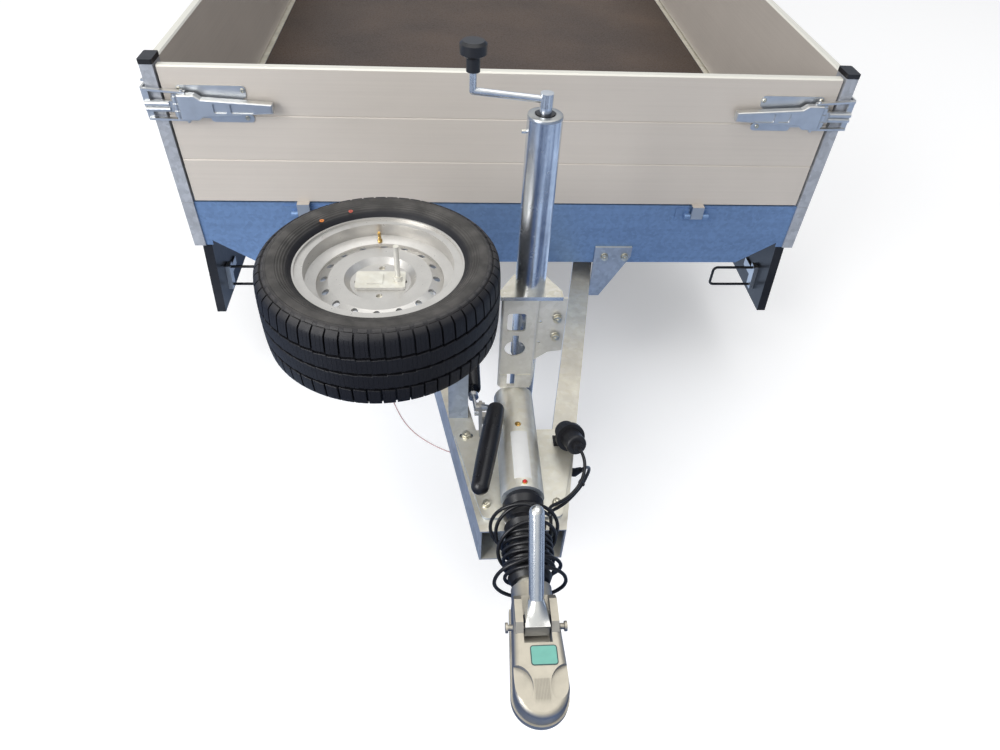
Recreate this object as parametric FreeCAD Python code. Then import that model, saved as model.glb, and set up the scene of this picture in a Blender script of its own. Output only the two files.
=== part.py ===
import FreeCAD, Part
import math
import os

# Two-axle flatbed trailer with dropsides, overrun coupling, jockey wheel and spare wheel.
# Millimetres. +X is to the right of someone who faces the trailer's nose, +Y runs towards
# the tail and +Z is up. The pieces are drawn with y = 0 on the front board's outer face and
# z = 0 on the ground. save() moves them to the origin: on the ground, half-way along.

V = FreeCAD.Vector
OVERRUN = 10.0
SEAT_GAP = 0.3
RUNNING_GAP = 0.08
OVERLAP = 1.0
FULL_TURN = 360.0
QUARTER_TURN = 90.0

# Bed
BED_LENGTH = 3150.0
BED_HALF_WIDTH = 925.0
DECK_CLEARANCE = 14.5
FLOOR_THICKNESS = 15.0
FLOOR_EDGE_GAP = 2.0
RAIL_DEPTH = 145.0
RAIL_FLANGE = 45.0
RAIL_WALL = 3.0
RAIL_LIP = 15.0
PANEL_DEPTH = 205.0
PANEL_INSET = 53.0
PANEL_WALL = 3.0
PANEL_FLANGE = 40.0
PANEL_CHAMFER_WIDTH = 114.0
PANEL_CHAMFER_DEPTH = 76.0
CROSS_MEMBER_DEPTH = 50.0
CROSS_MEMBER_WIDTH = 60.0
CROSS_MEMBER_WALL = 3.0
CROSS_MEMBER_COUNT = 8
CROSS_MEMBER_INSET = 120.0
SPINE_WALL = 4.0
SPINE_INSET = 150.0

# Boards
BOARD_THICKNESS = 25.0
BOARD_WALL = 2.5
PLANK_HEIGHT = 126.0
PLANK_COUNT = 3
BOARD_GAP = 5.0
BOARD_END_GAP = 5.5
BOARD_LIP = 4.0
GROOVE_DEPTH = 2.0
GROOVE_HEIGHT = 5.0

# Corner posts
POST_WIDTH = 32.5
POST_DEPTH = 60.0
POST_STAND_OUT = 5.0
POST_WALL = 3.0
POST_ABOVE_BOARD = 3.0
POST_CAP_HEIGHT = 12.0
POST_CAP_EDGE = 1.5
POST_CAP_CORNER = 4.0
POST_SEAM = 0.6
POST_SLOT = 14.0

# Board hinges
HINGE_KNUCKLE_RADIUS = 9.0
HINGE_PIN_RADIUS = 5.0
HINGE_STAND_OFF = 11.0
HINGE_DROP = 30.0
HINGE_TONGUE_WIDTH = 35.0
HINGE_EAR_WIDTH = 18.0
HINGE_SIDE_GAP = 1.5
HINGE_PLATE = 3.0
HINGE_PLATE_WIDTH = 124.0
HINGE_PLATE_ABOVE = 22.0
HINGE_PLATE_BELOW = 17.0
HINGE_LEAF_DEPTH = 20.0
HINGE_INSET = 305.0
SIDE_HINGE_COUNT = 4
SIDE_HINGE_INSET = 260.0

# Over-centre latches
LATCH_HEIGHT_ON_BOARD = 283.0
LATCH_BASE_WALL = 3.0
LATCH_BASE_CORNER = 9.0
LATCH_UPPER_START = 35.0
LATCH_UPPER_LENGTH = 172.0
LATCH_UPPER_LOW = 16.0
LATCH_UPPER_HIGH = 48.0
LATCH_LOWER_START = 105.0
LATCH_LOWER_LENGTH = 111.0
LATCH_LOWER_DROP = 48.0
LATCH_LOWER_HEIGHT = 21.0
LATCH_LEVER_INSET = 40.0
LATCH_LEVER_LENGTH = 234.0
LATCH_LEVER_WALL = 2.5
LATCH_LEVER_ROOT = 66.0
LATCH_LEVER_ROOT_LENGTH = 42.0
LATCH_LEVER_STEP = 15.0
LATCH_LEVER_WAIST = 45.0
LATCH_LEVER_TIP = 24.0
LATCH_LEVER_DEPTH = 20.0
LATCH_LEVER_OFFSET = 9.0
LATCH_LEVER_CORNER = 4.0
LATCH_WINDOW_STARTS = (85.0, 128.0)
LATCH_WINDOW_LENGTHS = (32.0, 56.0)
LATCH_WINDOW_HEIGHT = 25.0
LATCH_WINDOW_DEPTH = 4.0
LATCH_WINDOW_CORNER = 4.0
LATCH_PIN_X = 32.0
LATCH_PIN_RADIUS = 7.0
LATCH_KNUCKLE_RADIUS = 10.0
LATCH_KNUCKLE_HEIGHT = 14.0
LATCH_STRAP_PIN_X = 52.0
LATCH_STRAP_PIN_RADIUS = 4.0
LATCH_STRAP_WALL = 5.0
LATCH_STRAP_HEIGHT = 81.0
LATCH_STRAP_RISE = 5.0
LATCH_STRAP_FACE = 17.0
LATCH_STRAP_ARM_DEPTH = 12.0
LATCH_STRAP_HOOK = 34.0
LATCH_STRAP_SIDE_GAP = 6.0
LATCH_TONGUE_HEIGHT = 28.0
LATCH_TONGUE_DEPTH = 10.0
LATCH_TONGUE_ROD_RADIUS = 6.0
LATCH_KEEPER_REACH = 26.0
KEEPER_INSET = 10.0
KEEPER_WIDTH = 16.0
KEEPER_HEIGHT = 34.0

# Drawbar
BEAM_WIDTH = 62.0
BEAM_DEPTH = 119.0
BEAM_WALL = 4.0
BEAM_DROP = 272.0
BEAM_OUTER_AT_BED = 292.0
BEAM_SLOPE = 0.205
BEAM_NOSE = 945.0
BEAM_BEND = 1000.0
BEAM_TAIL_INSET = 100.0
TAB_WIDTH = 116.0
TAB_WALL = 8.0
TAB_HEIGHT = 34.0
TAB_LEG = 60.0

# Overrun housing and coupling
TUBE_RISE = 37.0
HOUSING_RADIUS = 50.0
HOUSING_WALL = 6.0
HOUSING_REAR = 566.0
HOUSING_FRONT = 885.0
WING_THICKNESS = 8.0
WING_REAR = 650.0
WING_FRONT = 914.0
WING_REAR_HALF_WIDTH = 158.0
WING_FRONT_HALF_WIDTH = 91.0
WING_INNER_HALF_WIDTH = 38.0
DRAWTUBE_RADIUS = 30.0
DRAWTUBE_WALL = 6.0
WING_CORNER = 14.0
WING_SLOT_X = 124.0
WING_SLOT_Y = 668.0
WING_SLOT_LENGTH = 34.0
WING_SLOT_WIDTH = 13.0
DRAWTUBE_REAR = 620.0
DRAWTUBE_INTO_HEAD = 72.0
BELLOWS_HEAD_GAP = 12.0
BELLOWS_RADIUS = 47.0
BELLOWS_ROOT_RADIUS = 40.0
BELLOWS_WALL = 3.0
BELLOWS_WING_GAP = 3.0
BELLOWS_FOLDS = 7
BALL_RADIUS = 25.0
BALL_GAP = 0.5
BALL_Y = 1312.0
BALL_DROP = 5.0
HEAD_BEHIND_BALL = 202.0
HEAD_NOSE_REACH = 60.0
HEAD_HALF_WIDTH = 55.0
HEAD_REAR_HALF_WIDTH = 47.0
HEAD_NECK_RADIUS = 42.0
HEAD_NECK_LENGTH = 34.0
HEAD_TOP_ABOVE_BALL = 46.0
HEAD_BOTTOM_BELOW_BALL = 24.0
HEAD_SKIRT_HEIGHT = 14.0
HEAD_SKIRT_EDGE = 3.5
HEAD_CROWN_RADIUS = 12.0
HEAD_NOSE_DROP = 22.0
HEAD_SCOOP_RADIUS = 37.0
HEAD_SCOOP_OFFSET = 53.0
HEAD_SCOOP_DEPTH = 12.0
HEAD_SCOOP_AHEAD = 5.0
HEAD_WINDOW_HALF_WIDTH = 27.0
HEAD_WINDOW_BEHIND_BALL = 72.0
HEAD_WINDOW_LENGTH = 56.0
HEAD_WINDOW_DEPTH = 34.0
HEAD_CHEEK_WIDTH = 15.0
HEAD_CHEEK_RISE = 15.0
HEAD_CHEEK_LENGTH = 62.0
HEAD_BOLT_BEHIND_BALL = 110.0
HEAD_BOLT_DROP = 16.0
HEAD_BOLT_RADIUS = 6.0
HEAD_BOLT_HALF_LENGTH = 60.0
HEAD_BOLT_HEAD_RADIUS = 10.0
HEAD_BOLT_HEAD_LENGTH = 5.0
LEVER_TUBE_RADIUS = 15.0
LEVER_FOOT_HALF_WIDTH = 24.0
LEVER_FOOT_HALF_LENGTH = 15.0
LEVER_FOOT_RISE = 58.0
LEVER_LENGTH = 170.0
LEVER_LEAN = 38.0

# Handbrake
BRAKE_PIVOT_X = 88.0
BRAKE_PIVOT_Y = 628.0
BRAKE_PIVOT_RISE = 72.0
BRAKE_PIVOT_RADIUS = 11.0
BRAKE_ARM_RADIUS = 8.0
GRIP_RADIUS = 19.0
GRIP_END_RADIUS = 15.0
GRIP_REAR_X = 52.0
GRIP_REAR_Y = 662.0
GRIP_FRONT_X = 98.0
GRIP_FRONT_Y = 884.0
GRIP_RISE = 88.0
GRIP_REAR_LIFT = 12.0
BRAKE_CHEEK_WALL = 8.0
CABLE_LUG_HALF_WIDTH = 9.0
CABLE_LUG_DROP = 26.0
STRUT_RADIUS = 13.0
STRUT_ROD_RADIUS = 5.0
STRUT_X = 108.0
STRUT_REAR_Y = 290.0
STRUT_FRONT_Y = 520.0
STRUT_RISE = 42.0
STRUT_ANCHOR_WALL = 8.0
STRUT_NUT_Y = 556.0
STRUT_NUT_RADIUS = 13.0
STRUT_NUT_LENGTH = 12.0

# Jack
JACK_X = 25.0
JACK_Y = 520.0
JACK_RADIUS = 35.0
JACK_WALL = 3.5
JACK_PLATE_RISE = 327.0
JACK_PLATE_WALL = 10.0
JACK_PLATE_HALF_WIDTH = 72.0
JACK_PLATE_REAR_HALF_WIDTH = 36.0
JACK_PLATE_SHOULDER = 24.0
JACK_TUBE_ABOVE = 408.0
JACK_TUBE_BELOW = 202.0
JACK_SLEEVE_RADIUS = 12.0
JACK_SLEEVE_HEIGHT = 20.0
JACK_NIPPLE_RADIUS = 4.0
JACK_NIPPLE_REACH = 9.0
JACK_NIPPLE_DROP = 30.0
LEG_WALL = 3.0
LEG_ENGAGED = 330.0
BRACKET_FRONT_Y = 572.0
BRACKET_WALL = 5.0
BRACKET_HALF_WIDTH = 43.0
BRACKET_DEPTH = 14.0
BRACKET_CORNER = 6.0
BRACKET_OPENING_WIDTH = 44.0
BRACKET_OPENING_HEIGHT = 54.0
BRACKET_OPENING_DROP = 38.0
BRACKET_OPENING_CORNER = 8.0
BRACKET_KEY_RADIUS = 25.0
BRACKET_KEY_DROP = 147.0
BRACKET_KEY_SLOT = 16.0
BRACKET_KEY_RISE = 42.0
BRACKET_HOLES_X = 6.0
BRACKET_FOOT_HEIGHT = 44.0
BRACKET_FOOT_STEP = 5.0
BRACKET_NOTCH_WIDTH = 20.0
BRACKET_NOTCH_X = 10.0
BACK_PLATE_RIGHT = 110.0
BACK_PLATE_SIDE_DROP = 160.0
BACK_PLATE_CORNER_X = 76.0
BACK_PLATE_CORNER_DROP = 166.0
BACK_PLATE_BOTTOM_DROP = 197.0
BACK_PLATE_HOLES_X = 52.0
BACK_PLATE_HOLE_RADIUS = 3.5
BACK_PLATE_HOLE_DROPS = (70.0, 135.0)
CRANK_ARM = 140.0
CRANK_ARM_RISE = 14.0
CRANK_ROD_RADIUS = 7.0
CRANK_HUB_RADIUS = 13.0
CRANK_HUB_HEIGHT = 26.0
CRANK_STEM = 36.0
KNOB_NECK_RADIUS = 13.0
KNOB_NECK_HEIGHT = 24.0
KNOB_RADIUS = 25.0
KNOB_FLARE = 8.0
KNOB_HEIGHT = 54.0
KNOB_EDGE = 5.0
JOCKEY_RADIUS = 100.0
JOCKEY_WIDTH = 60.0
JOCKEY_RIM_RADIUS = 68.0
JOCKEY_TRAIL = 62.0
JOCKEY_AXLE_RADIUS = 8.0
JOCKEY_HUB_RADIUS = 18.0
FORK_GAP = 5.0
FORK_WALL = 6.0
FORK_CROWN_WALL = 8.0
FORK_CROWN_CLEARANCE = 12.0
FORK_ARM_HALF_WIDTH = 22.0

# Wheels
TYRE_RADIUS = 262.5
TYRE_WIDTH = 198.0
TYRE_TREAD_WIDTH = 168.0
TYRE_SHOULDER_DROP = 9.0
TYRE_WALL = 13.0
SHOULDER_POINTS = 4
FLANK_POINTS = 7
TREAD_GROOVE_DEPTH = 7.0
TREAD_GROOVE_WIDTH = 9.0
TREAD_GROOVE_SPACING = 38.0
TREAD_GROOVE_SHARES = (-1.5, -0.5, 0.5, 1.5)
BEAD_RADIUS = 165.0
RIM_FLANGE_RADIUS = 183.0
RIM_WIDTH = 140.0
RIM_FLANGE_WIDTH = 9.0
RIM_WELL_RADIUS = 142.0
RIM_WELL_HALF_WIDTH = 32.0
RIM_WALL = 4.0
DISC_OFFSET = 30.0
DISC_WALL = 5.0
DISC_CROWN_RADIUS = 78.0
DISC_CROWN_HEIGHT = 12.0
DISC_RING_RADIUS = 112.0
BORE_RADIUS = 29.0
VENT_COUNT = 16
VENT_RADIUS = 8.0
VENT_CIRCLE_RADIUS = 122.0
BOLT_HOLE_COUNT = 4
BOLT_HOLE_RADIUS = 7.0
BOLT_CIRCLE_RADIUS = 50.0
WHEEL_X = 745.0
AXLE_Y = (1300.0, 2000.0)

# Axles
AXLE_TUBE_SIZE = 80.0
AXLE_TUBE_END = 600.0
ARM_RUN = 140.0
ARM_THICKNESS = 28.0
ARM_HALF_HEIGHT = 30.0
AXLE_PAD_WALL = 4.0
AXLE_PAD_LENGTH = 110.0
SPINDLE_RADIUS = 20.0
DRUM_RADIUS = 112.0
DRUM_WIDTH = 62.0
DRUM_WALL = 8.0
HUB_RADIUS = 40.0
HUB_CAP_RADIUS = 27.0
HUB_CAP_LENGTH = 22.0
BACKPLATE_WALL = 4.0
BACKPLATE_GAP = 2.0
MUDGUARD_RADIUS = 288.0
MUDGUARD_WALL = 4.0
MUDGUARD_WIDTH = 200.0
MUDGUARD_END_ANGLE = 12.0
HANGER_HALF_WIDTH = 40.0

# Spare wheel carrier
SPARE_X = 312.0
SPARE_Y = 575.0
SPARE_RISE = 118.0
CARRIER_SIZE = 50.0
CARRIER_ARM_DROP = 108.0
CARRIER_HUB_RADIUS = 32.0
CARRIER_FLANGE_RADIUS = 66.0
CARRIER_FLANGE_WALL = 8.0
CLAMP_LENGTH = 108.0
CLAMP_WIDTH = 60.0
CLAMP_WALL = 6.0
CLAMP_ROD_RADIUS = 6.0
CLAMP_ROD_LENGTH = 92.0
CLAMP_ROD_OFFSET = 38.0
CLAMP_CORNER = 6.0
CLAMP_PAD = 34.0
CLAMP_PAD_OFFSET = 12.0
CLAMP_PAD_RISE = 2.0
CLAMP_NUT_RADIUS = 10.0
CLAMP_NUT_HEIGHT = 10.0

# Side plates at the front corners
SIDE_PLATE_LENGTH = 420.0
SIDE_PLATE_TOP_INSET = 45.0
SIDE_PLATE_BOTTOM_INSET = 27.0
SIDE_PLATE_WALL = 4.0
SIDE_PLATE_FLANGE = 28.0
SIDE_PLATE_FRONT_Y = 12.0
SIDE_PLATE_DEPTH = 269.0

# Wire cradles on the side plates
CRADLE_ROD_RADIUS = 4.5
CRADLE_Y = 100.0
CRADLE_DROP = 152.0
CRADLE_HEIGHT = 70.0
CRADLE_REACH = 135.0
CRADLE_BEND = 14.0
CLAMP_BLOCK_LENGTH = 105.0
CLAMP_BLOCK_HEIGHT = 30.0
CLAMP_BLOCK_WALL = 6.0
CLAMP_SADDLE_LENGTH = 30.0
CLAMP_SADDLE_DEPTH = 14.0
CLAMP_SADDLE_EDGE = 10.0

# Plug, its holder, the lead and the safety cable
PLUG_RING_X = 130.0
PLUG_RING_Y = 712.0
PLUG_RING_DROP = 222.0
PLUG_DIRECTION = V(0.16, -0.89, 0.42)
PLUG_RING_RADIUS = 36.0
PLUG_RING_DEPTH = 14.0
PLUG_RADIUS = 25.0
PLUG_LENGTH = 46.0
PLUG_NECK_RADIUS = 12.0
PLUG_NECK_LENGTH = 16.0
PLUG_CORNER = 6.0
HOLDER_BACK_RADIUS = 26.0
HOLDER_BACK_LENGTH = 34.0
HOLDER_FOOT_WALL = 4.0
HOLDER_FOOT_HALF_WIDTH = 16.0
LEAD_RADIUS = 4.0
GLAND_RADIUS = 11.0
GLAND_TIP_RADIUS = 7.0
GLAND_LENGTH = 26.0
GLAND_BOSS = 8.0
GLAND_DIRECTION = V(0.5, -0.3, 0.81)
GLAND_Y = 745.0
GLAND_DROP = 48.0
WINDING_GAP = 0.5
WINDING_AHEAD = 65.0
WINDING_FRONT_GAP = 2.0
WINDING_STATION_SHARES = (0.0, 0.05, 0.33, 0.7, 0.93, 1.0)
WINDING_RADII = (70.0, 80.0, 79.0, 73.0, 66.0, 58.0)
CABLE_RADIUS = 1.8

# Routes of the lead and the safety cable
LEAD_TO_PLUG = ((141.17, -774.13, 437.32), (145.3, -797.1, 448.1), (148, -830, 439),
                (136, -861, 419), (108, -890, 410), (80, -910, 414), (54, -926, 421),
                (54, -949.7, 421))
LEAD_TO_GLAND = ((160.58, -754.57, 331.34), (167.2, -758.5, 342.1), (172, -767, 357),
                 (172, -781, 373), (167, -801, 388), (156, -826, 398), (140, -855, 403),
                 (114, -884, 399), (86, -908, 397), (58, -926, 404), (58, -949.7, 404))
SAFETY_CABLE = ((-306, -575, 589.7), (-307, -574, 562), (-314, -566, 530), (-324, -550, 490),
                (-330, -534, 445), (-328, -522, 398), (-320, -516, 350), (-308, -518, 302),
                (-290, -528, 262), (-262, -546, 236), (-226, -566, 221), (-188, -588, 217),
                (-152, -606, 219), (-124, -618, 220), (-100, -626, 224), (-86, -630, 242),
                (-81, -630, 270), (-80, -629, 306), (-78, -628, 342), (-79, -628, 373.7))

# Tail
LAMP_LENGTH = 240.0
LAMP_HEIGHT = 130.0
LAMP_DEPTH = 45.0
LAMP_STAND_OUT = 6.0
LAMP_EDGE_INSET = 17.0
LAMP_GAP = 0.3

# Derived sizes
FLOOR_HEIGHT = (TYRE_RADIUS + MUDGUARD_RADIUS + DECK_CLEARANCE + CROSS_MEMBER_DEPTH
                + FLOOR_THICKNESS)
RAIL_BOTTOM = FLOOR_HEIGHT - RAIL_DEPTH
RAIL_INNER_REACH = BED_HALF_WIDTH - RAIL_WALL
BOARD_BOTTOM = FLOOR_HEIGHT + BOARD_GAP
BOARD_HEIGHT = PLANK_HEIGHT * PLANK_COUNT
BOARD_TOP = BOARD_BOTTOM + BOARD_HEIGHT
PANEL_HALF_WIDTH = BED_HALF_WIDTH - PANEL_INSET
POST_INNER_X = BED_HALF_WIDTH - POST_WIDTH
SIDE_PLATE_TOP_X = BED_HALF_WIDTH - SIDE_PLATE_TOP_INSET
SIDE_PLATE_BOTTOM_X = BED_HALF_WIDTH - SIDE_PLATE_BOTTOM_INSET
POST_FRONT_Y = -POST_STAND_OUT
POST_REAR_Y = POST_FRONT_Y + POST_DEPTH
POST_TOP = BOARD_TOP + POST_ABOVE_BOARD
END_BOARD_HALF_LENGTH = POST_INNER_X - BOARD_END_GAP
SIDE_BOARD_START = POST_REAR_Y + BOARD_END_GAP
SIDE_BOARD_LENGTH = BED_LENGTH - SIDE_BOARD_START * 2
CROSS_TOP = FLOOR_HEIGHT - FLOOR_THICKNESS
CROSS_BOTTOM = CROSS_TOP - CROSS_MEMBER_DEPTH
BEAM_TOP = FLOOR_HEIGHT - BEAM_DROP
BEAM_BOTTOM = BEAM_TOP - BEAM_DEPTH
BEAM_OUTER_TAIL = BEAM_OUTER_AT_BED + BEAM_SLOPE * BEAM_BEND
TUBE_AXIS_HEIGHT = BEAM_TOP + TUBE_RISE
BALL_HEIGHT = TUBE_AXIS_HEIGHT - BALL_DROP
HEAD_REAR = BALL_Y - HEAD_BEHIND_BALL
HEAD_NOSE = BALL_Y + HEAD_NOSE_REACH
DRAWTUBE_FRONT = HEAD_REAR + DRAWTUBE_INTO_HEAD
BELLOWS_FRONT = HEAD_REAR - BELLOWS_HEAD_GAP
BRAKE_PIVOT_HEIGHT = BEAM_TOP + BRAKE_PIVOT_RISE
GRIP_HEIGHT = BEAM_TOP + GRIP_RISE
STRUT_HEIGHT = BEAM_TOP + STRUT_RISE
HINGE_AXIS_HEIGHT = FLOOR_HEIGHT - HINGE_DROP
JACK_PLATE_HEIGHT = TUBE_AXIS_HEIGHT + JACK_PLATE_RISE
JACK_TOP_HEIGHT = JACK_PLATE_HEIGHT + JACK_TUBE_ABOVE
JACK_FOOT_HEIGHT = JACK_PLATE_HEIGHT - JACK_TUBE_BELOW
JOCKEY_Y = JACK_Y - JOCKEY_TRAIL
LEG_RADIUS = JACK_RADIUS - JACK_WALL - SEAT_GAP
FORK_CROWN_HEIGHT = JOCKEY_RADIUS * 2 + FORK_CROWN_CLEARANCE
AXLE_TUBE_HEIGHT = BEAM_BOTTOM - AXLE_PAD_WALL - AXLE_TUBE_SIZE / 2
RIM_HALF_WIDTH = RIM_WIDTH / 2 + RIM_FLANGE_WIDTH
SPARE_HEIGHT = FLOOR_HEIGHT + SPARE_RISE
CARRIER_ARM_TOP = SPARE_HEIGHT - CARRIER_ARM_DROP
SIDE_PLATE_BOTTOM = RAIL_BOTTOM - SIDE_PLATE_DEPTH
LAMP_CENTRE_X = PANEL_HALF_WIDTH - LAMP_EDGE_INSET - LAMP_LENGTH / 2
PLUG_RING = V(PLUG_RING_X, -PLUG_RING_Y, FLOOR_HEIGHT - PLUG_RING_DROP)
LATCH_REACH = LATCH_BASE_WALL + LATCH_LEVER_OFFSET + LATCH_LEVER_DEPTH
ORIGIN_Y = (BED_LENGTH + LATCH_REACH - HEAD_NOSE) / 2


def box(x0, x1, y0, y1, z0, z1):
    """Axis-aligned block between two corners."""
    corner = V(min(x0, x1), min(y0, y1), min(z0, z1))
    return Part.makeBox(abs(x1 - x0), abs(y1 - y0), abs(z1 - z0), corner)


def rod(start, end, radius):
    """Round bar between two points."""
    axis = end - start
    return Part.makeCylinder(radius, axis.Length, start, axis)


def pipe(start, end, radius, wall):
    """Open round tube between two points."""
    return rod(start, end, radius).cut(rod(start, end, radius - wall))


def union(shapes):
    """One solid from shapes that meet."""
    shapes = list(shapes)
    return shapes[0].multiFuse(shapes[1:]).removeSplitter()


def group(shapes):
    """Separate solids kept in one node."""
    return Part.makeCompound(list(shapes))


def mirrored(shape):
    """The same piece on the other side of the trailer."""
    return shape.mirror(V(0, 0, 0), V(1, 0, 0))


def both_sides(shape):
    """A piece and its mirror image, apart from each other."""
    return group([shape, mirrored(shape)])


def turned_to_tail(shape):
    """The same piece at the tail, facing rearwards."""
    return shape.mirror(V(0, BED_LENGTH / 2, 0), V(0, 1, 0))


def prism(points, direction):
    """Straight extrusion of a closed outline."""
    wire = Part.makePolygon(points + [points[0]])
    return Part.Face(wire).extrude(direction)


def prism_with_holes(outline, holes, direction):
    """Straight extrusion of an outline with closed cavities."""
    wires = [Part.makePolygon(points + [points[0]]) for points in [outline] + holes]
    return Part.Face(wires).extrude(direction)


def revolved(profile, axis=V(1, 0, 0)):
    """Solid of revolution from (along, radius) points about the X axis."""
    points = [V(along, 0, radius) for along, radius in profile]
    wire = Part.makePolygon(points + [points[0]])
    return Part.Face(wire).revolve(V(0, 0, 0), axis, FULL_TURN)


def edges_along(shape, axis):
    """The straight edges of a shape that run along an axis."""
    straight = [e for e in shape.Edges if e.Curve.TypeId == "Part::GeomLine"]
    return [e for e in straight if abs(e.tangentAt(e.FirstParameter).dot(axis)) > 1 - 1e-6]


def rounded_plate(x0, x1, y0, y1, z0, z1, radius):
    """Upright plate whose corners are rounded as seen from the front."""
    plate = box(x0, x1, y0, y1, z0, z1)
    return plate.makeFillet(radius, edges_along(plate, V(0, 1, 0)))


def arc_path(points, share=0.45):
    """Straight runs through a route's points, joined by arcs as large as the runs allow."""
    edges = []
    radii = []
    start = points[0]
    for before, corner, after in zip(points, points[1:], points[2:]):
        run_in, run_out = corner - before, after - corner
        half_turn = run_in.getAngle(run_out) / 2
        cut = min(run_in.Length, run_out.Length) * share
        radii.append(cut / math.tan(half_turn))
        into, out = run_in.normalize(), run_out.normalize()
        first, last = corner - into * cut, corner + out * cut
        lean = (out - into).normalize()
        middle = corner + lean * radii[-1] * (1 / math.cos(half_turn) - 1)
        edges += [Part.LineSegment(start, first).toShape(),
                  Part.Arc(first, middle, last).toShape()]
        start = last
    edges.append(Part.LineSegment(start, points[-1]).toShape())
    return Part.Wire(edges), radii


def tube_along(points, radius):
    """Round solid along a route."""
    wire, radii = arc_path([V(*point) for point in points])
    start = wire.Edges[0]
    direction = start.tangentAt(start.FirstParameter)
    ring = Part.Wire(Part.makeCircle(radius, V(*points[0]), direction))
    solid = wire.makePipeShell([ring], True, False)
    section = math.pi * radius * radius
    print(f"route of {wire.Length:.0f} mm, volume {solid.Volume / section / wire.Length:.4f}, "
          f"radii {[round(value) for value in radii]}")
    return solid


def placed(shape, position, axis=V(0, 0, 1), angle=0.0):
    """A copy turned about an axis through the origin and then moved."""
    copy = shape.copy()
    turn = FreeCAD.Placement(position, FreeCAD.Rotation(axis, angle))
    copy.Placement = turn.multiply(copy.Placement)
    return copy


def save(name, shape):
    """Write one node in the trailer's own frame."""
    moved = shape.copy()
    moved.translate(V(0, -ORIGIN_Y, 0))
    moved.exportStep(os.path.join("parts", name + ".step"))


# Bed

def side_rail():
    """Folded C-section along the right-hand edge of the bed, open inwards."""
    outer = BED_HALF_WIDTH
    inner = outer - RAIL_FLANGE
    low, high = RAIL_BOTTOM, FLOOR_HEIGHT
    profile = [V(outer, 0, low), V(outer, 0, high), V(inner, 0, high),
               V(inner, 0, high - RAIL_WALL), V(outer - RAIL_WALL, 0, high - RAIL_WALL),
               V(outer - RAIL_WALL, 0, low + RAIL_WALL), V(inner + RAIL_WALL, 0, low + RAIL_WALL),
               V(inner + RAIL_WALL, 0, low + RAIL_LIP), V(inner, 0, low + RAIL_LIP),
               V(inner, 0, low)]
    rail = prism(profile, V(0, BED_LENGTH - POST_REAR_Y * 2, 0))
    rail.translate(V(0, POST_REAR_Y, 0))
    return rail


def cross_member(y):
    """Rectangular tube across the bed, below the floor."""
    half = RAIL_INNER_REACH
    outer = box(-half, half, y, y + CROSS_MEMBER_WIDTH, CROSS_BOTTOM, CROSS_TOP)
    inner = box(-half - OVERRUN, half + OVERRUN, y + CROSS_MEMBER_WALL,
                y + CROSS_MEMBER_WIDTH - CROSS_MEMBER_WALL,
                CROSS_BOTTOM + CROSS_MEMBER_WALL, CROSS_TOP - CROSS_MEMBER_WALL)
    return outer.cut(inner)


def spine():
    """Deep C-section that carries the bed on the right-hand drawbar beam."""
    outer = BEAM_OUTER_TAIL
    inner = outer - BEAM_WIDTH
    low, high = BEAM_TOP, CROSS_BOTTOM
    profile = [V(inner, 0, low), V(inner, 0, high), V(outer, 0, high),
               V(outer, 0, high - SPINE_WALL), V(inner + SPINE_WALL, 0, high - SPINE_WALL),
               V(inner + SPINE_WALL, 0, low + SPINE_WALL), V(outer, 0, low + SPINE_WALL),
               V(outer, 0, low)]
    start = BEAM_BEND
    rail = prism(profile, V(0, BED_LENGTH - SPINE_INSET - start, 0))
    rail.translate(V(0, start, 0))
    return rail


def cross_member_places():
    """Front edges of the cross members along the bed."""
    pitch = (BED_LENGTH - CROSS_MEMBER_INSET * 2 - CROSS_MEMBER_WIDTH) / (CROSS_MEMBER_COUNT - 1)
    return [CROSS_MEMBER_INSET + pitch * index for index in range(CROSS_MEMBER_COUNT)]


def bed_frame():
    """Side rails, cross members and the two deep rails, welded into one frame."""
    pieces = [side_rail(), mirrored(side_rail()), spine(), mirrored(spine())]
    pieces += [cross_member(y) for y in cross_member_places()]
    pieces += side_hinge_ears(1) + side_hinge_ears(-1)
    return union(pieces)


def floor_deck():
    """Plywood floor between the rails."""
    half = BED_HALF_WIDTH - RAIL_FLANGE - FLOOR_EDGE_GAP
    start = POST_REAR_Y + FLOOR_EDGE_GAP
    deck = box(-half, half, start, BED_LENGTH - start, CROSS_TOP, FLOOR_HEIGHT)
    return deck


def panel():
    """Folded sheet below an end board, with cut corners, top and bottom flanges."""
    top, bottom = FLOOR_HEIGHT, FLOOR_HEIGHT - PANEL_DEPTH
    half = PANEL_HALF_WIDTH
    cut_x = half - PANEL_CHAMFER_WIDTH
    cut_z = bottom + PANEL_CHAMFER_DEPTH
    outline = [V(-half, 0, cut_z), V(-cut_x, 0, bottom), V(cut_x, 0, bottom), V(half, 0, cut_z),
               V(half, 0, RAIL_BOTTOM), V(POST_INNER_X, 0, RAIL_BOTTOM), V(POST_INNER_X, 0, top),
               V(-POST_INNER_X, 0, top), V(-POST_INNER_X, 0, RAIL_BOTTOM),
               V(-half, 0, RAIL_BOTTOM)]
    sheet = prism(outline, V(0, PANEL_WALL, 0))
    upper = box(-POST_INNER_X, POST_INNER_X, 0, POST_REAR_Y, top - PANEL_WALL, top)
    lower = box(-cut_x, cut_x, 0, PANEL_FLANGE, bottom, bottom + PANEL_WALL)
    return union([sheet, upper, lower] + end_hinge_ears())


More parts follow.
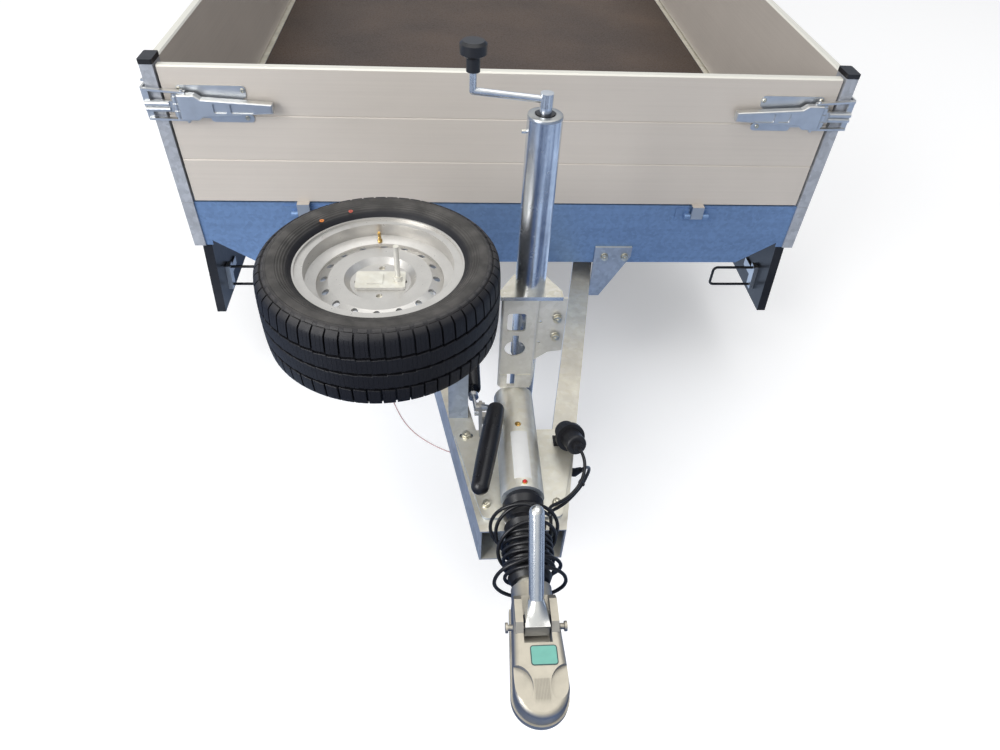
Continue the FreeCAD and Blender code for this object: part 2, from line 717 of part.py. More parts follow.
def beam_tab():
    """Angle plate that bolts the front panel to the right-hand drawbar beam."""
    x0 = BEAM_OUTER_AT_BED
    high = FLOOR_HEIGHT - PANEL_DEPTH + TAB_LEG
    low = BEAM_TOP - TAB_LEG
    points = [V(x0, 0, low), V(x0 + TAB_HEIGHT, 0, low),
              V(x0 + TAB_WIDTH, 0, high - TAB_HEIGHT), V(x0 + TAB_WIDTH, 0, high), V(x0, 0, high)]
    plate = prism(points, V(0, -TAB_WALL, 0))
    plate.translate(V(SEAT_GAP, -SEAT_GAP, 0))
    return plate


# Boards and posts

def board(length):
    """Hollow three-plank board, outer face on y = 0, standing on z = 0 along +X."""
    depth = BOARD_THICKNESS
    outline = [V(0, 0, 0)]
    for index in range(1, PLANK_COUNT):
        z = PLANK_HEIGHT * index
        outline += [V(0, 0, z - GROOVE_HEIGHT / 2), V(0, GROOVE_DEPTH, z),
                    V(0, 0, z + GROOVE_HEIGHT / 2)]
    top = BOARD_HEIGHT
    outline += [V(0, 0, top - BOARD_LIP), V(0, BOARD_LIP, top), V(0, depth - BOARD_LIP, top),
                V(0, depth, top - BOARD_LIP), V(0, depth, 0)]
    cavities = []
    for index in range(PLANK_COUNT):
        low = PLANK_HEIGHT * index + BOARD_WALL * 2
        high = PLANK_HEIGHT * (index + 1) - BOARD_WALL * 2
        near, far = BOARD_WALL + GROOVE_DEPTH, depth - BOARD_WALL
        cavities.append([V(0, near, low), V(0, far, low), V(0, far, high), V(0, near, high)])
    return prism_with_holes(outline, cavities, V(length, 0, 0))


def hinge_tongue(x):
    """Moving half of a hinge: a knuckle with a leaf that goes under the board."""
    y, z = -HINGE_STAND_OFF, HINGE_AXIS_HEIGHT
    half = HINGE_TONGUE_WIDTH / 2
    start, end = V(x - half, y, z), V(x + half, y, z)
    knuckle = rod(start, end, HINGE_KNUCKLE_RADIUS)
    front = y - HINGE_KNUCKLE_RADIUS
    neck = box(x - half, x + half, front, front + HINGE_PLATE * 2, z, BOARD_BOTTOM)
    leaf = box(x - half, x + half, front, HINGE_LEAF_DEPTH, BOARD_BOTTOM - HINGE_PLATE,
               BOARD_BOTTOM)
    reach = V(half + OVERRUN, 0, 0)
    bore = rod(V(x, y, z) - reach, V(x, y, z) + reach, HINGE_PIN_RADIUS + RUNNING_GAP)
    return union([knuckle, neck, leaf]).cut(bore)


def hinge_ears(x):
    """Fixed half of a hinge: two ears with their foot plates and the pin."""
    y, z = -HINGE_STAND_OFF, HINGE_AXIS_HEIGHT
    inner = HINGE_TONGUE_WIDTH / 2 + HINGE_SIDE_GAP
    outer = inner + HINGE_EAR_WIDTH
    pieces = [rod(V(x - outer, y, z), V(x + outer, y, z), HINGE_PIN_RADIUS)]
    for sign in (-1, 1):
        near, far = x + inner * sign, x + outer * sign
        pieces.append(rod(V(near, y, z), V(far, y, z), HINGE_KNUCKLE_RADIUS))
        pieces.append(box(near, far, y, 0, z - HINGE_KNUCKLE_RADIUS, z + HINGE_KNUCKLE_RADIUS))
        pieces.append(box(near, x + HINGE_PLATE_WIDTH / 2 * sign, -HINGE_PLATE, 0,
                          z - HINGE_PLATE_BELOW, z + HINGE_PLATE_ABOVE))
    return union(pieces)


def end_hinge_ears():
    """The hinge halves on the front or rear panel."""
    x = END_BOARD_HALF_LENGTH - HINGE_INSET
    return [hinge_ears(-x), hinge_ears(x)]


def side_hinge_places():
    """Where the hinges of a side board lie along the bed."""
    first = SIDE_BOARD_START + SIDE_HINGE_INSET
    last = BED_LENGTH - first
    pitch = (last - first) / (SIDE_HINGE_COUNT - 1)
    return [first + pitch * index for index in range(SIDE_HINGE_COUNT)]


def turned_to_side(shape, side):
    """A front-facing piece, drawn along +X from x = 0, put on a long side of the bed."""
    turned = placed(shape, V(BED_HALF_WIDTH, 0, 0), angle=QUARTER_TURN)
    return turned if side > 0 else mirrored(turned)


def side_hinge_ears(side):
    """The fixed hinge halves on one side rail."""
    return [turned_to_side(hinge_ears(y), side) for y in side_hinge_places()]


def end_board():
    """Front board with the moving halves of its hinges."""
    plank = board(END_BOARD_HALF_LENGTH * 2)
    plank.translate(V(-END_BOARD_HALF_LENGTH, 0, BOARD_BOTTOM))
    x = END_BOARD_HALF_LENGTH - HINGE_INSET
    return union([plank, hinge_tongue(-x), hinge_tongue(x)])


def side_board(side):
    """Dropside on one long side."""
    plank = board(SIDE_BOARD_LENGTH)
    plank.translate(V(SIDE_BOARD_START, 0, BOARD_BOTTOM))
    pieces = [plank] + [hinge_tongue(y) for y in side_hinge_places()]
    return turned_to_side(union(pieces), side)


def corner_post():
    """Front right post: a slotted tube above the floor and its pocket below."""
    def section(low, high):
        outer = box(POST_INNER_X, BED_HALF_WIDTH, POST_FRONT_Y, POST_REAR_Y, low, high)
        inner = box(POST_INNER_X + POST_WALL, BED_HALF_WIDTH - POST_WALL,
                    POST_FRONT_Y + POST_WALL, POST_REAR_Y - POST_WALL,
                    low - OVERRUN, high + OVERRUN)
        return outer.cut(inner)
    upper = section(FLOOR_HEIGHT + POST_SEAM, POST_TOP)
    middle = (POST_FRONT_Y + POST_REAR_Y) / 2
    slot = box(POST_INNER_X - OVERRUN, POST_INNER_X + POST_WALL + OVERLAP,
               middle - POST_SLOT / 2, middle + POST_SLOT / 2,
               BOARD_BOTTOM + POST_SLOT, BOARD_TOP - POST_SLOT)
    return [union([upper.cut(slot), keeper()]), section(RAIL_BOTTOM, FLOOR_HEIGHT)]


def keeper():
    """Lug on the outer side of the front right post, below the strap of the dropside's latch."""
    zc = BOARD_BOTTOM + LATCH_HEIGHT_ON_BOARD + LATCH_STRAP_RISE
    half = KEEPER_HEIGHT / 2
    depth = LATCH_BASE_WALL + LATCH_LEVER_OFFSET - SEAT_GAP
    rear = POST_REAR_Y - KEEPER_INSET
    return box(BED_HALF_WIDTH, BED_HALF_WIDTH + depth, rear - KEEPER_WIDTH, rear,
               zc - half, zc + half)


def four_corners(shape):
    """A front right piece repeated at all four corners."""
    front = [shape, mirrored(shape)]
    return front + [turned_to_tail(piece) for piece in front]


def corner_posts():
    """Four posts in their pockets."""
    return group([solid for piece in corner_post() for solid in four_corners(piece)])


def post_caps():
    """Plastic caps on the four posts."""
    edge = POST_CAP_EDGE
    low = POST_TOP + SEAT_GAP
    cap = box(POST_INNER_X - edge, BED_HALF_WIDTH + edge, POST_FRONT_Y - edge, POST_REAR_Y + edge,
              low, low + POST_CAP_HEIGHT)
    return group(four_corners(cap.makeFillet(POST_CAP_CORNER, edges_along(cap, V(0, 0, 1)))))


# Latches

def latch_base():
    """Base plate on the board: a long upper flange and a short lower one with a round end."""
    near = -LATCH_BASE_WALL
    upper = rounded_plate(LATCH_UPPER_START, LATCH_UPPER_START + LATCH_UPPER_LENGTH, near, 0,
                          LATCH_UPPER_LOW, LATCH_UPPER_HIGH, LATCH_BASE_CORNER)
    low = -LATCH_LOWER_DROP
    lower = rounded_plate(LATCH_LOWER_START, LATCH_LOWER_START + LATCH_LOWER_LENGTH, near, 0,
                          low, low + LATCH_LOWER_HEIGHT, LATCH_BASE_CORNER)
    middle = box(LATCH_UPPER_START + LATCH_BASE_CORNER,
                 LATCH_UPPER_START + LATCH_UPPER_LENGTH - LATCH_BASE_CORNER, near, 0,
                 low + LATCH_LOWER_HEIGHT / 2, LATCH_UPPER_LOW + LATCH_BASE_CORNER)
    return union([upper, middle, lower])


def latch_lever():
    """Pressed lever: a channel open towards the board, wide at its pin, with two sunk windows."""
    near = -LATCH_BASE_WALL - LATCH_LEVER_OFFSET
    far = near - LATCH_LEVER_DEPTH
    start, tip = LATCH_LEVER_INSET, LATCH_LEVER_INSET + LATCH_LEVER_LENGTH
    shoulder = start + LATCH_LEVER_ROOT_LENGTH

    def outline(wall, y):
        rows = [(start + wall, LATCH_LEVER_ROOT / 2 - wall), (shoulder, LATCH_LEVER_ROOT / 2 - wall),
                (shoulder + LATCH_LEVER_STEP, LATCH_LEVER_WAIST / 2 - wall),
                (tip - wall, LATCH_LEVER_TIP / 2 - wall)]
        upper = [V(along, y, half) for along, half in rows]
        lower = [V(along, y, -half) for along, half in rows[::-1]]
        return upper + lower

    shell = prism(outline(0, near), V(0, far - near, 0))
    front = [e for e in shell.Edges if e.BoundBox.YMax < far + OVERLAP]
    shell = shell.makeFillet(LATCH_LEVER_CORNER, front)
    wall = LATCH_LEVER_WALL
    shell = shell.cut(prism(outline(wall, near + OVERRUN), V(0, far + wall - near - OVERRUN, 0)))
    half = LATCH_WINDOW_HEIGHT / 2
    sill = far + LATCH_WINDOW_DEPTH
    for offset, length in zip(LATCH_WINDOW_STARTS, LATCH_WINDOW_LENGTHS):
        left = start + offset
        tray = box(left - wall, left + length + wall, far + wall, sill + wall,
                   -half - wall, half + wall)
        inside = prism(outline(0, near), V(0, far - near, 0))
        sunk = rounded_plate(left, left + length, far - OVERRUN, sill, -half, half,
                             LATCH_WINDOW_CORNER)
        shell = shell.fuse(tray.common(inside)).cut(sunk.common(prism(
            outline(wall, near), V(0, far - OVERRUN - near, 0))))
    return shell


def latch_pin():
    """Upright pin with three knuckles, and the saddle that carries it on the base plate."""
    x, half = LATCH_PIN_X, LATCH_LEVER_ROOT / 2
    y = -LATCH_BASE_WALL - LATCH_LEVER_OFFSET - LATCH_KNUCKLE_RADIUS / 2
    pieces = [rod(V(x, y, -half), V(x, y, half), LATCH_PIN_RADIUS)]
    reach = half - LATCH_KNUCKLE_HEIGHT
    for centre in (-reach, 0, reach):
        pieces.append(rod(V(x, y, centre - LATCH_KNUCKLE_HEIGHT / 2),
                          V(x, y, centre + LATCH_KNUCKLE_HEIGHT / 2), LATCH_KNUCKLE_RADIUS))
    pieces.append(box(x - LATCH_PIN_RADIUS, x + LATCH_BASE_CORNER * 3, y, 0,
                      -LATCH_KNUCKLE_HEIGHT / 2, LATCH_KNUCKLE_HEIGHT / 2))
    return union(pieces)


def latch_strap(strap_reach, hook_depth):
    """Strap drawn over the post: an end plate, two arms to the lever's side pin and a tongue."""
    near = -LATCH_BASE_WALL - LATCH_LEVER_OFFSET
    wall = LATCH_STRAP_WALL
    end_x = -strap_reach
    side = end_x - wall
    high = LATCH_STRAP_RISE + LATCH_STRAP_HEIGHT / 2
    low = high - LATCH_STRAP_HEIGHT
    face = box(side, side + LATCH_STRAP_FACE, near - wall, near, low, high)
    hook = box(side, end_x, near - wall, near + hook_depth, low, high)
    wrap = union([face, hook])
    outer = [e for e in edges_along(wrap, V(0, 0, 1))
             if e.BoundBox.XMax < side + OVERLAP and e.BoundBox.YMax < near - wall + OVERLAP]
    wrap = wrap.makeFillet(wall - OVERLAP, outer)
    root = LATCH_LEVER_ROOT / 2
    far_x = LATCH_STRAP_PIN_X + LATCH_STRAP_PIN_RADIUS * 2
    upper = prism([V(side + wall, near, high), V(far_x, near, root + wall), V(far_x, near, root),
                   V(side + wall, near, high - wall)], V(0, -LATCH_STRAP_ARM_DEPTH, 0))
    lower = prism([V(side + wall, near, low), V(far_x, near, -root - wall), V(far_x, near, -root),
                   V(side + wall, near, low + wall)], V(0, -LATCH_STRAP_ARM_DEPTH, 0))
    pin_y = near - LATCH_STRAP_ARM_DEPTH / 2
    ends = [rod(V(LATCH_STRAP_PIN_X, pin_y, root * sign),
                V(LATCH_STRAP_PIN_X, pin_y, (root + wall * 2) * sign), LATCH_STRAP_PIN_RADIUS)
            for sign in (-1, 1)]
    half = LATCH_TONGUE_HEIGHT / 2
    tongue = box(side + wall, LATCH_PIN_X, near - LATCH_TONGUE_DEPTH, near, -half, half)
    rib_y = near - LATCH_TONGUE_DEPTH
    ribs = [rod(V(side + wall, rib_y, half / 2 * sign), V(LATCH_PIN_X / 2, rib_y, half / 2 * sign),
                LATCH_TONGUE_ROD_RADIUS) for sign in (-1, 1)]
    return union([wrap, upper, lower, tongue] + ends + ribs)


def latch(strap_reach, hook_depth):
    """Over-centre latch at the left end of a board whose end is at x = 0 and face at y = 0.

    The strap reaches past the end of the board. On an end board it wraps round the post's
    outer side; on a dropside it lies over the keeper on the post."""
    shape = union([latch_base(), latch_lever(), latch_pin(),
                   latch_strap(strap_reach, hook_depth)])
    shape.translate(V(0, 0, BOARD_BOTTOM + LATCH_HEIGHT_ON_BOARD))
    return shape


def end_latches():
    """Both latches of the front board."""
    left = latch(BOARD_END_GAP + POST_WIDTH + LATCH_STRAP_SIDE_GAP, LATCH_STRAP_HOOK)
    left.translate(V(-END_BOARD_HALF_LENGTH, 0, 0))
    return both_sides(left)


def side_latches(side):
    """Both latches of a dropside."""
    first = latch(LATCH_KEEPER_REACH, 0)
    first.translate(V(SIDE_BOARD_START, 0, 0))
    second = first.mirror(V(BED_LENGTH / 2, 0, 0), V(1, 0, 0))
    return group([turned_to_side(piece, side) for piece in (first, second)])


# Drawbar

def beam_outer(y):
    """Distance from the centre plane to a beam's outer face."""
    return BEAM_OUTER_AT_BED + BEAM_SLOPE * min(y, BEAM_BEND)


def beam_box(inset, overrun):
    """Plan outline of the right-hand beam, drawn in by the wall and out past its ends."""
    nose, tail = -BEAM_NOSE - overrun, BED_LENGTH - BEAM_TAIL_INSET + overrun
    rows = [nose, BEAM_BEND, tail]
    outer = [V(beam_outer(y) - inset, y, BEAM_BOTTOM + inset) for y in rows]
    inner = [V(beam_outer(y) - BEAM_WIDTH + inset, y, BEAM_BOTTOM + inset) for y in rows]
    return prism(outer + inner[::-1], V(0, 0, BEAM_DEPTH - inset * 2))


def drawbar_beams():
    """Two open-ended box beams that run from the nose, below the bed, to the tail."""
    beam = beam_box(0, 0).cut(beam_box(BEAM_WALL, OVERRUN))
    return both_sides(beam)


def overrun_housing():
    """Housing tube with a wing on each beam; the rear bolt of a wing sits in a slot."""
    z = TUBE_AXIS_HEIGHT
    start, end = V(0, -HOUSING_REAR, z), V(0, -HOUSING_FRONT, z)
    tube = rod(start, end, HOUSING_RADIUS)
    low = BEAM_TOP
    wing = prism([V(WING_INNER_HALF_WIDTH - OVERRUN, -WING_REAR, low),
                  V(WING_REAR_HALF_WIDTH, -WING_REAR, low),
                  V(WING_FRONT_HALF_WIDTH, -WING_FRONT, low),
                  V(WING_INNER_HALF_WIDTH - OVERRUN, -WING_FRONT, low)],
                 V(0, 0, WING_THICKNESS))
    outer = [e for e in edges_along(wing, V(0, 0, 1)) if e.BoundBox.XMin > WING_INNER_HALF_WIDTH]
    wing = wing.makeFillet(WING_CORNER, outer)
    half_length, half_width = WING_SLOT_LENGTH / 2, WING_SLOT_WIDTH / 2
    slot = box(WING_SLOT_X - half_length, WING_SLOT_X + half_length, -WING_SLOT_Y - half_width,
               -WING_SLOT_Y + half_width, low - OVERRUN, low + OVERRUN * 2)
    slot = slot.makeFillet(half_width - OVERLAP, edges_along(slot, V(0, 0, 1)))
    wing = wing.cut(slot)
    bore = rod(start + V(0, OVERRUN, 0), end - V(0, WING_FRONT, 0), HOUSING_RADIUS - HOUSING_WALL)
    room = rod(end, end - V(0, WING_FRONT, 0), BELLOWS_RADIUS + BELLOWS_WING_GAP)
    wings = [piece.cut(room) for piece in (wing, mirrored(wing))]
    return union([tube] + wings).cut(bore)


def drawtube():
    """Sliding tube that carries the coupling head."""
    z = TUBE_AXIS_HEIGHT
    start, end = V(0, -DRAWTUBE_REAR, z), V(0, -DRAWTUBE_FRONT, z)
    shaft = pipe(start, end, DRAWTUBE_RADIUS, DRAWTUBE_WALL)
    fit = HOUSING_RADIUS - HOUSING_WALL - RUNNING_GAP
    rings = [pipe(V(0, -y, z), V(0, -y - HOUSING_RADIUS, z), fit, fit - DRAWTUBE_RADIUS + OVERLAP)
             for y in (DRAWTUBE_REAR, HOUSING_FRONT - HOUSING_RADIUS)]
    return union([shaft] + rings)


def bellows():
    """Pleated rubber gaiter that lies over the drawtube, from the housing to the head."""
    rear, front = HOUSING_FRONT + SEAT_GAP, BELLOWS_FRONT
    pitch = (front - rear) / (BELLOWS_FOLDS * 2)
    outer = [(rear + pitch * index, BELLOWS_RADIUS if index % 2 else BELLOWS_ROOT_RADIUS)
             for index in range(BELLOWS_FOLDS * 2 + 1)]
    bore = BELLOWS_ROOT_RADIUS - BELLOWS_WALL
    collar = DRAWTUBE_RADIUS + SEAT_GAP
    ring = revolved(outer + [(front, collar), (front - BELLOWS_WALL, collar),
                             (front - BELLOWS_WALL, bore), (rear + BELLOWS_WALL, bore),
                             (rear, bore)])
    return placed(ring, V(0, 0, TUBE_AXIS_HEIGHT), angle=-QUARTER_TURN)


def head_outline(inset, z, direction):
    """Plan of the head from its neck to the round nose, drawn in by an inset."""
    half, rear = HEAD_HALF_WIDTH - inset, HEAD_REAR_HALF_WIDTH - inset
    centre = -HEAD_NOSE + HEAD_HALF_WIDTH
    nose = -HEAD_NOSE + inset
    start = -HEAD_REAR - HEAD_NECK_LENGTH
    left, right = V(-half, centre, z), V(half, centre, z)
    edges = [Part.LineSegment(V(-rear, start, z), left).toShape(),
             Part.Arc(left, V(0, nose, z), right).toShape(),
             Part.LineSegment(right, V(rear, start, z)).toShape(),
             Part.LineSegment(V(rear, start, z), V(-rear, start, z)).toShape()]
    return Part.Face(Part.Wire(edges)).extrude(direction)


def head_shell():
    """Skirt, domed body with a sloping nose, cheeks for the lever and the neck."""
    top, bottom = BALL_HEIGHT + HEAD_TOP_ABOVE_BALL, BALL_HEIGHT - HEAD_BOTTOM_BELOW_BALL
    skirt = head_outline(0, bottom, V(0, 0, HEAD_SKIRT_HEIGHT))
    body = head_outline(HEAD_SKIRT_EDGE, bottom, V(0, 0, top - bottom))
    nose_low = top - HEAD_NOSE_DROP
    slope = prism([V(-HEAD_NOSE, -BALL_Y + BALL_RADIUS, top),
                   V(-HEAD_NOSE, -BALL_Y + BALL_RADIUS, top + OVERRUN),
                   V(-HEAD_NOSE, -HEAD_NOSE - OVERRUN, top + OVERRUN),
                   V(-HEAD_NOSE, -HEAD_NOSE - OVERRUN, nose_low)], V(HEAD_NOSE * 2, 0, 0))
    body = body.cut(slope)
    rim = [e for e in body.Edges if e.BoundBox.ZMin > nose_low - OVERLAP
           and e.BoundBox.XLength + e.BoundBox.YLength > OVERLAP
           and not (e.BoundBox.YLength < OVERLAP and e.BoundBox.YMin > -BALL_Y)]
    body = body.makeFillet(HEAD_CROWN_RADIUS, rim)
    start = -HEAD_REAR - HEAD_NECK_LENGTH
    cheeks = []
    for sign in (-1, 1):
        inner = HEAD_WINDOW_HALF_WIDTH * sign
        outer = (HEAD_WINDOW_HALF_WIDTH + HEAD_CHEEK_WIDTH) * sign
        cheek = prism([V(inner, start, bottom), V(inner, start, top),
                       V(inner, start - HEAD_CHEEK_RISE, top + HEAD_CHEEK_RISE),
                       V(inner, start - HEAD_CHEEK_LENGTH, top + HEAD_CHEEK_RISE),
                       V(inner, start - HEAD_CHEEK_LENGTH - HEAD_CHEEK_RISE, top),
                       V(inner, start - HEAD_CHEEK_LENGTH - HEAD_CHEEK_RISE, bottom)],
                      V(outer - inner, 0, 0))
        cheeks.append(cheek)
    neck = rod(V(0, -HEAD_REAR, TUBE_AXIS_HEIGHT), V(0, start - OVERRUN, TUBE_AXIS_HEIGHT),
               HEAD_NECK_RADIUS)
    return union([skirt, body, neck] + cheeks)


def coupling_head():
    """Cast ball coupling, open below, with thumb hollows and a window for the lever's foot."""
    z = TUBE_AXIS_HEIGHT
    top, bottom = BALL_HEIGHT + HEAD_TOP_ABOVE_BALL, BALL_HEIGHT - HEAD_BOTTOM_BELOW_BALL
    solid = head_shell()
    scoop_y = -BALL_Y - HEAD_SCOOP_AHEAD
    scoops = [Part.makeCylinder(HEAD_SCOOP_RADIUS, HEAD_TOP_ABOVE_BALL,
                                V(HEAD_SCOOP_OFFSET * sign, scoop_y, top - HEAD_SCOOP_DEPTH))
              for sign in (-1, 1)]
    rear = -BALL_Y + HEAD_WINDOW_BEHIND_BALL
    half = HEAD_WINDOW_HALF_WIDTH
    window = box(-half, half, rear, rear + HEAD_WINDOW_LENGTH, top - HEAD_WINDOW_DEPTH,
                 top + HEAD_CHEEK_RISE + OVERRUN)
    socket = Part.makeSphere(BALL_RADIUS + BALL_GAP, V(0, -BALL_Y, BALL_HEIGHT))
    throat = Part.makeCylinder(BALL_RADIUS + BALL_GAP, HEAD_BOTTOM_BELOW_BALL + OVERRUN,
                               V(0, -BALL_Y, bottom - OVERRUN))
    neck_bore = rod(V(0, -HEAD_REAR + OVERRUN, z), V(0, -DRAWTUBE_FRONT - OVERLAP, z),
                    DRAWTUBE_RADIUS + SEAT_GAP)
    bolt_y = -BALL_Y + HEAD_BOLT_BEHIND_BALL
    bolt_z = top - HEAD_BOLT_DROP
    reach = HEAD_BOLT_HALF_LENGTH
    bolt = rod(V(-reach, bolt_y, bolt_z), V(reach, bolt_y, bolt_z), HEAD_BOLT_RADIUS)
    heads = [rod(V(reach * sign, bolt_y, bolt_z),
                 V((reach - HEAD_BOLT_HEAD_LENGTH) * sign, bolt_y, bolt_z), HEAD_BOLT_HEAD_RADIUS)
             for sign in (-1, 1)]
    solid = solid.cut(scoops + [window, socket, throat, neck_bore])
    return union([solid, bolt] + heads)


def coupling_lever():
    """Release lever: a foot on the head's cross bolt and a chromed tube that leans back."""
    top = BALL_HEIGHT + HEAD_TOP_ABOVE_BALL
    bolt_y = -BALL_Y + HEAD_BOLT_BEHIND_BALL
    bolt_z = top - HEAD_BOLT_DROP
    lean = math.radians(LEVER_LEAN)
    along = V(0, math.sin(lean), math.cos(lean))
    knee = V(0, bolt_y, bolt_z) + along * LEVER_FOOT_RISE
    tip = knee + along * LEVER_LENGTH
    half, deep = LEVER_FOOT_HALF_WIDTH, LEVER_FOOT_HALF_LENGTH
    base_z = top + HEAD_CHEEK_RISE
    base = Part.makePolygon([V(-half, bolt_y - deep, base_z), V(half, bolt_y - deep, base_z),
                             V(half, bolt_y + deep, base_z), V(-half, bolt_y + deep, base_z),
                             V(-half, bolt_y - deep, base_z)])
    ring = Part.Wire(Part.makeCircle(LEVER_TUBE_RADIUS, knee, along))
    foot = Part.makeLoft([base, ring], True, False)
    sole = box(-half, half, bolt_y - deep, bolt_y + deep, bolt_z - HEAD_BOLT_RADIUS, base_z)
    eye = rod(V(-half - OVERRUN, bolt_y, bolt_z), V(half + OVERRUN, bolt_y, bolt_z),
              HEAD_BOLT_RADIUS + RUNNING_GAP)
    tube = rod(knee, tip, LEVER_TUBE_RADIUS)
    return union([foot, sole, tube, Part.makeSphere(LEVER_TUBE_RADIUS, tip)]).cut(eye)


# Handbrake

def handbrake_lever():
    """Lever with a long rubber grip, its cheek on the wing and the lug of the safety cable."""
    x, y = -BRAKE_PIVOT_X, -BRAKE_PIVOT_Y
    pivot = V(x, y, BRAKE_PIVOT_HEIGHT)
    rear = V(-GRIP_REAR_X, -GRIP_REAR_Y, GRIP_HEIGHT + GRIP_REAR_LIFT)
    front = V(-GRIP_FRONT_X, -GRIP_FRONT_Y, GRIP_HEIGHT)
    boss = rod(pivot - V(BRAKE_PIVOT_RADIUS, 0, 0), pivot + V(BRAKE_PIVOT_RADIUS, 0, 0),
               BRAKE_PIVOT_RADIUS)
    arm = rod(pivot, rear, BRAKE_ARM_RADIUS)
    axis = (front - rear).normalize()
    length = (front - rear).Length
    taper = Part.makeCone(GRIP_END_RADIUS, GRIP_RADIUS, length / 4, rear, axis)
    grip = rod(rear + axis * (length / 4), front, GRIP_RADIUS)
    ends = [Part.makeSphere(GRIP_END_RADIUS, rear), Part.makeSphere(GRIP_RADIUS, front)]
    low = BEAM_TOP + WING_THICKNESS + SEAT_GAP
    half = BRAKE_CHEEK_WALL / 2
    foot_y = -WING_REAR - BRAKE_PIVOT_RADIUS
    crest = BRAKE_PIVOT_HEIGHT + BRAKE_PIVOT_RADIUS
    cheek = prism([V(x - half, y + BRAKE_PIVOT_RADIUS * 2, STRUT_HEIGHT - BRAKE_PIVOT_RADIUS),
                   V(x - half, y + BRAKE_PIVOT_RADIUS, crest),
                   V(x - half, y - BRAKE_PIVOT_RADIUS, crest),
                   V(x - half, foot_y - BRAKE_PIVOT_RADIUS, low), V(x - half, foot_y, low)],
                  V(BRAKE_CHEEK_WALL, 0, 0))
    lug_half = CABLE_LUG_HALF_WIDTH
    lug = box(x - half, x + lug_half * 2, y - lug_half, y + lug_half,
              STRUT_HEIGHT - CABLE_LUG_DROP, STRUT_HEIGHT)
    return union([boss, arm, taper, grip, cheek, lug] + ends)


def handbrake_strut():
    """Spring strut with its threaded rod, eye nut and anchor on the left-hand beam."""
    rear = V(-STRUT_X, -STRUT_REAR_Y, STRUT_HEIGHT)
    front = V(-STRUT_X, -STRUT_FRONT_Y, STRUT_HEIGHT)
    cheek_x = -BRAKE_PIVOT_X - BRAKE_CHEEK_WALL / 2 - SEAT_GAP
    eye = V(cheek_x - STRUT_ROD_RADIUS, -BRAKE_PIVOT_Y + BRAKE_PIVOT_RADIUS, STRUT_HEIGHT)
    half = V(STRUT_ROD_RADIUS, 0, 0)
    ring = rod(eye - half, eye + half, STRUT_ROD_RADIUS * 2)
    along = (eye - front).normalize()
    nut = front + along * (STRUT_NUT_Y - STRUT_FRONT_Y)
    collar = rod(nut, nut + along * STRUT_NUT_LENGTH, STRUT_NUT_RADIUS)
    anchor_x = -beam_outer(rear.y) + BEAM_WIDTH / 2
    low = BEAM_TOP + SEAT_GAP
    anchor = box(anchor_x, rear.x, rear.y - STRUT_RADIUS, rear.y + STRUT_RADIUS, low,
                 low + STRUT_ANCHOR_WALL)
    lug = box(rear.x - STRUT_ROD_RADIUS, rear.x + STRUT_ROD_RADIUS, rear.y - STRUT_RADIUS,
              rear.y + STRUT_RADIUS, low, STRUT_HEIGHT)
    return union([rod(rear, front, STRUT_RADIUS), rod(front, eye, STRUT_ROD_RADIUS), ring,
                  collar, anchor, lug])


# Jack

def jack_bracket():
    """Folded channel on the housing, with its cut-outs, foot and the plate behind the jack."""
    half, wall = BRACKET_HALF_WIDTH, BRACKET_WALL
    low = TUBE_AXIS_HEIGHT + HOUSING_RADIUS + SEAT_GAP
    high = JACK_PLATE_HEIGHT - SEAT_GAP
    front, rear = -BRACKET_FRONT_Y, -BRACKET_FRONT_Y + BRACKET_DEPTH
    outer = box(-half, half, front, rear, low, high)
    outer = outer.makeFillet(BRACKET_CORNER, [e for e in edges_along(outer, V(0, 0, 1))
                                              if e.BoundBox.YMax < front + OVERLAP])
    hollow = box(-half + wall, half - wall, front + wall, rear + OVERRUN, low - OVERRUN,
                 high + OVERRUN)
    channel = outer.cut(hollow)
    centre = -BRACKET_HOLES_X
    opening_top = high - BRACKET_OPENING_DROP
    opening = rounded_plate(centre - BRACKET_OPENING_WIDTH / 2, centre + BRACKET_OPENING_WIDTH / 2,
                            front - OVERRUN, front + wall + OVERLAP,
                            opening_top - BRACKET_OPENING_HEIGHT, opening_top,
                            BRACKET_OPENING_CORNER)
    key_z = high - BRACKET_KEY_DROP
    key = rod(V(centre, front - OVERRUN, key_z), V(centre, front + wall + OVERLAP, key_z),
              BRACKET_KEY_RADIUS)
    slot_half = BRACKET_KEY_SLOT / 2
    slot = box(centre - slot_half, centre + slot_half, front - OVERRUN, front + wall + OVERLAP,
               key_z, key_z + BRACKET_KEY_RISE)
    foot = box(-half + wall, half - wall, front - BRACKET_FOOT_STEP, front + wall, low,
               low + BRACKET_FOOT_HEIGHT)
    notch_centre = centre - BRACKET_NOTCH_X / 2
    notch = box(notch_centre - BRACKET_NOTCH_WIDTH / 2, notch_centre + BRACKET_NOTCH_WIDTH / 2,
                front - BRACKET_FOOT_STEP - OVERRUN, front + wall + OVERLAP,
                low + wall, low + BRACKET_FOOT_HEIGHT)
    back_outline = [V(half - wall, rear, high), V(BACK_PLATE_RIGHT, rear, high),
                    V(BACK_PLATE_RIGHT, rear, high - BACK_PLATE_SIDE_DROP),
                    V(BACK_PLATE_CORNER_X, rear, high - BACK_PLATE_CORNER_DROP),
                    V(half - wall, rear, high - BACK_PLATE_BOTTOM_DROP)]
    back = prism(back_outline, V(0, -wall, 0))
    for drop in BACK_PLATE_HOLE_DROPS:
        z = high - drop
        back = back.cut(rod(V(BACK_PLATE_HOLES_X, rear + OVERRUN, z),
                            V(BACK_PLATE_HOLES_X, rear - wall - OVERRUN, z),
                            BACK_PLATE_HOLE_RADIUS))
    return union([union([channel, foot]).cut([opening, key, slot, notch]), back])


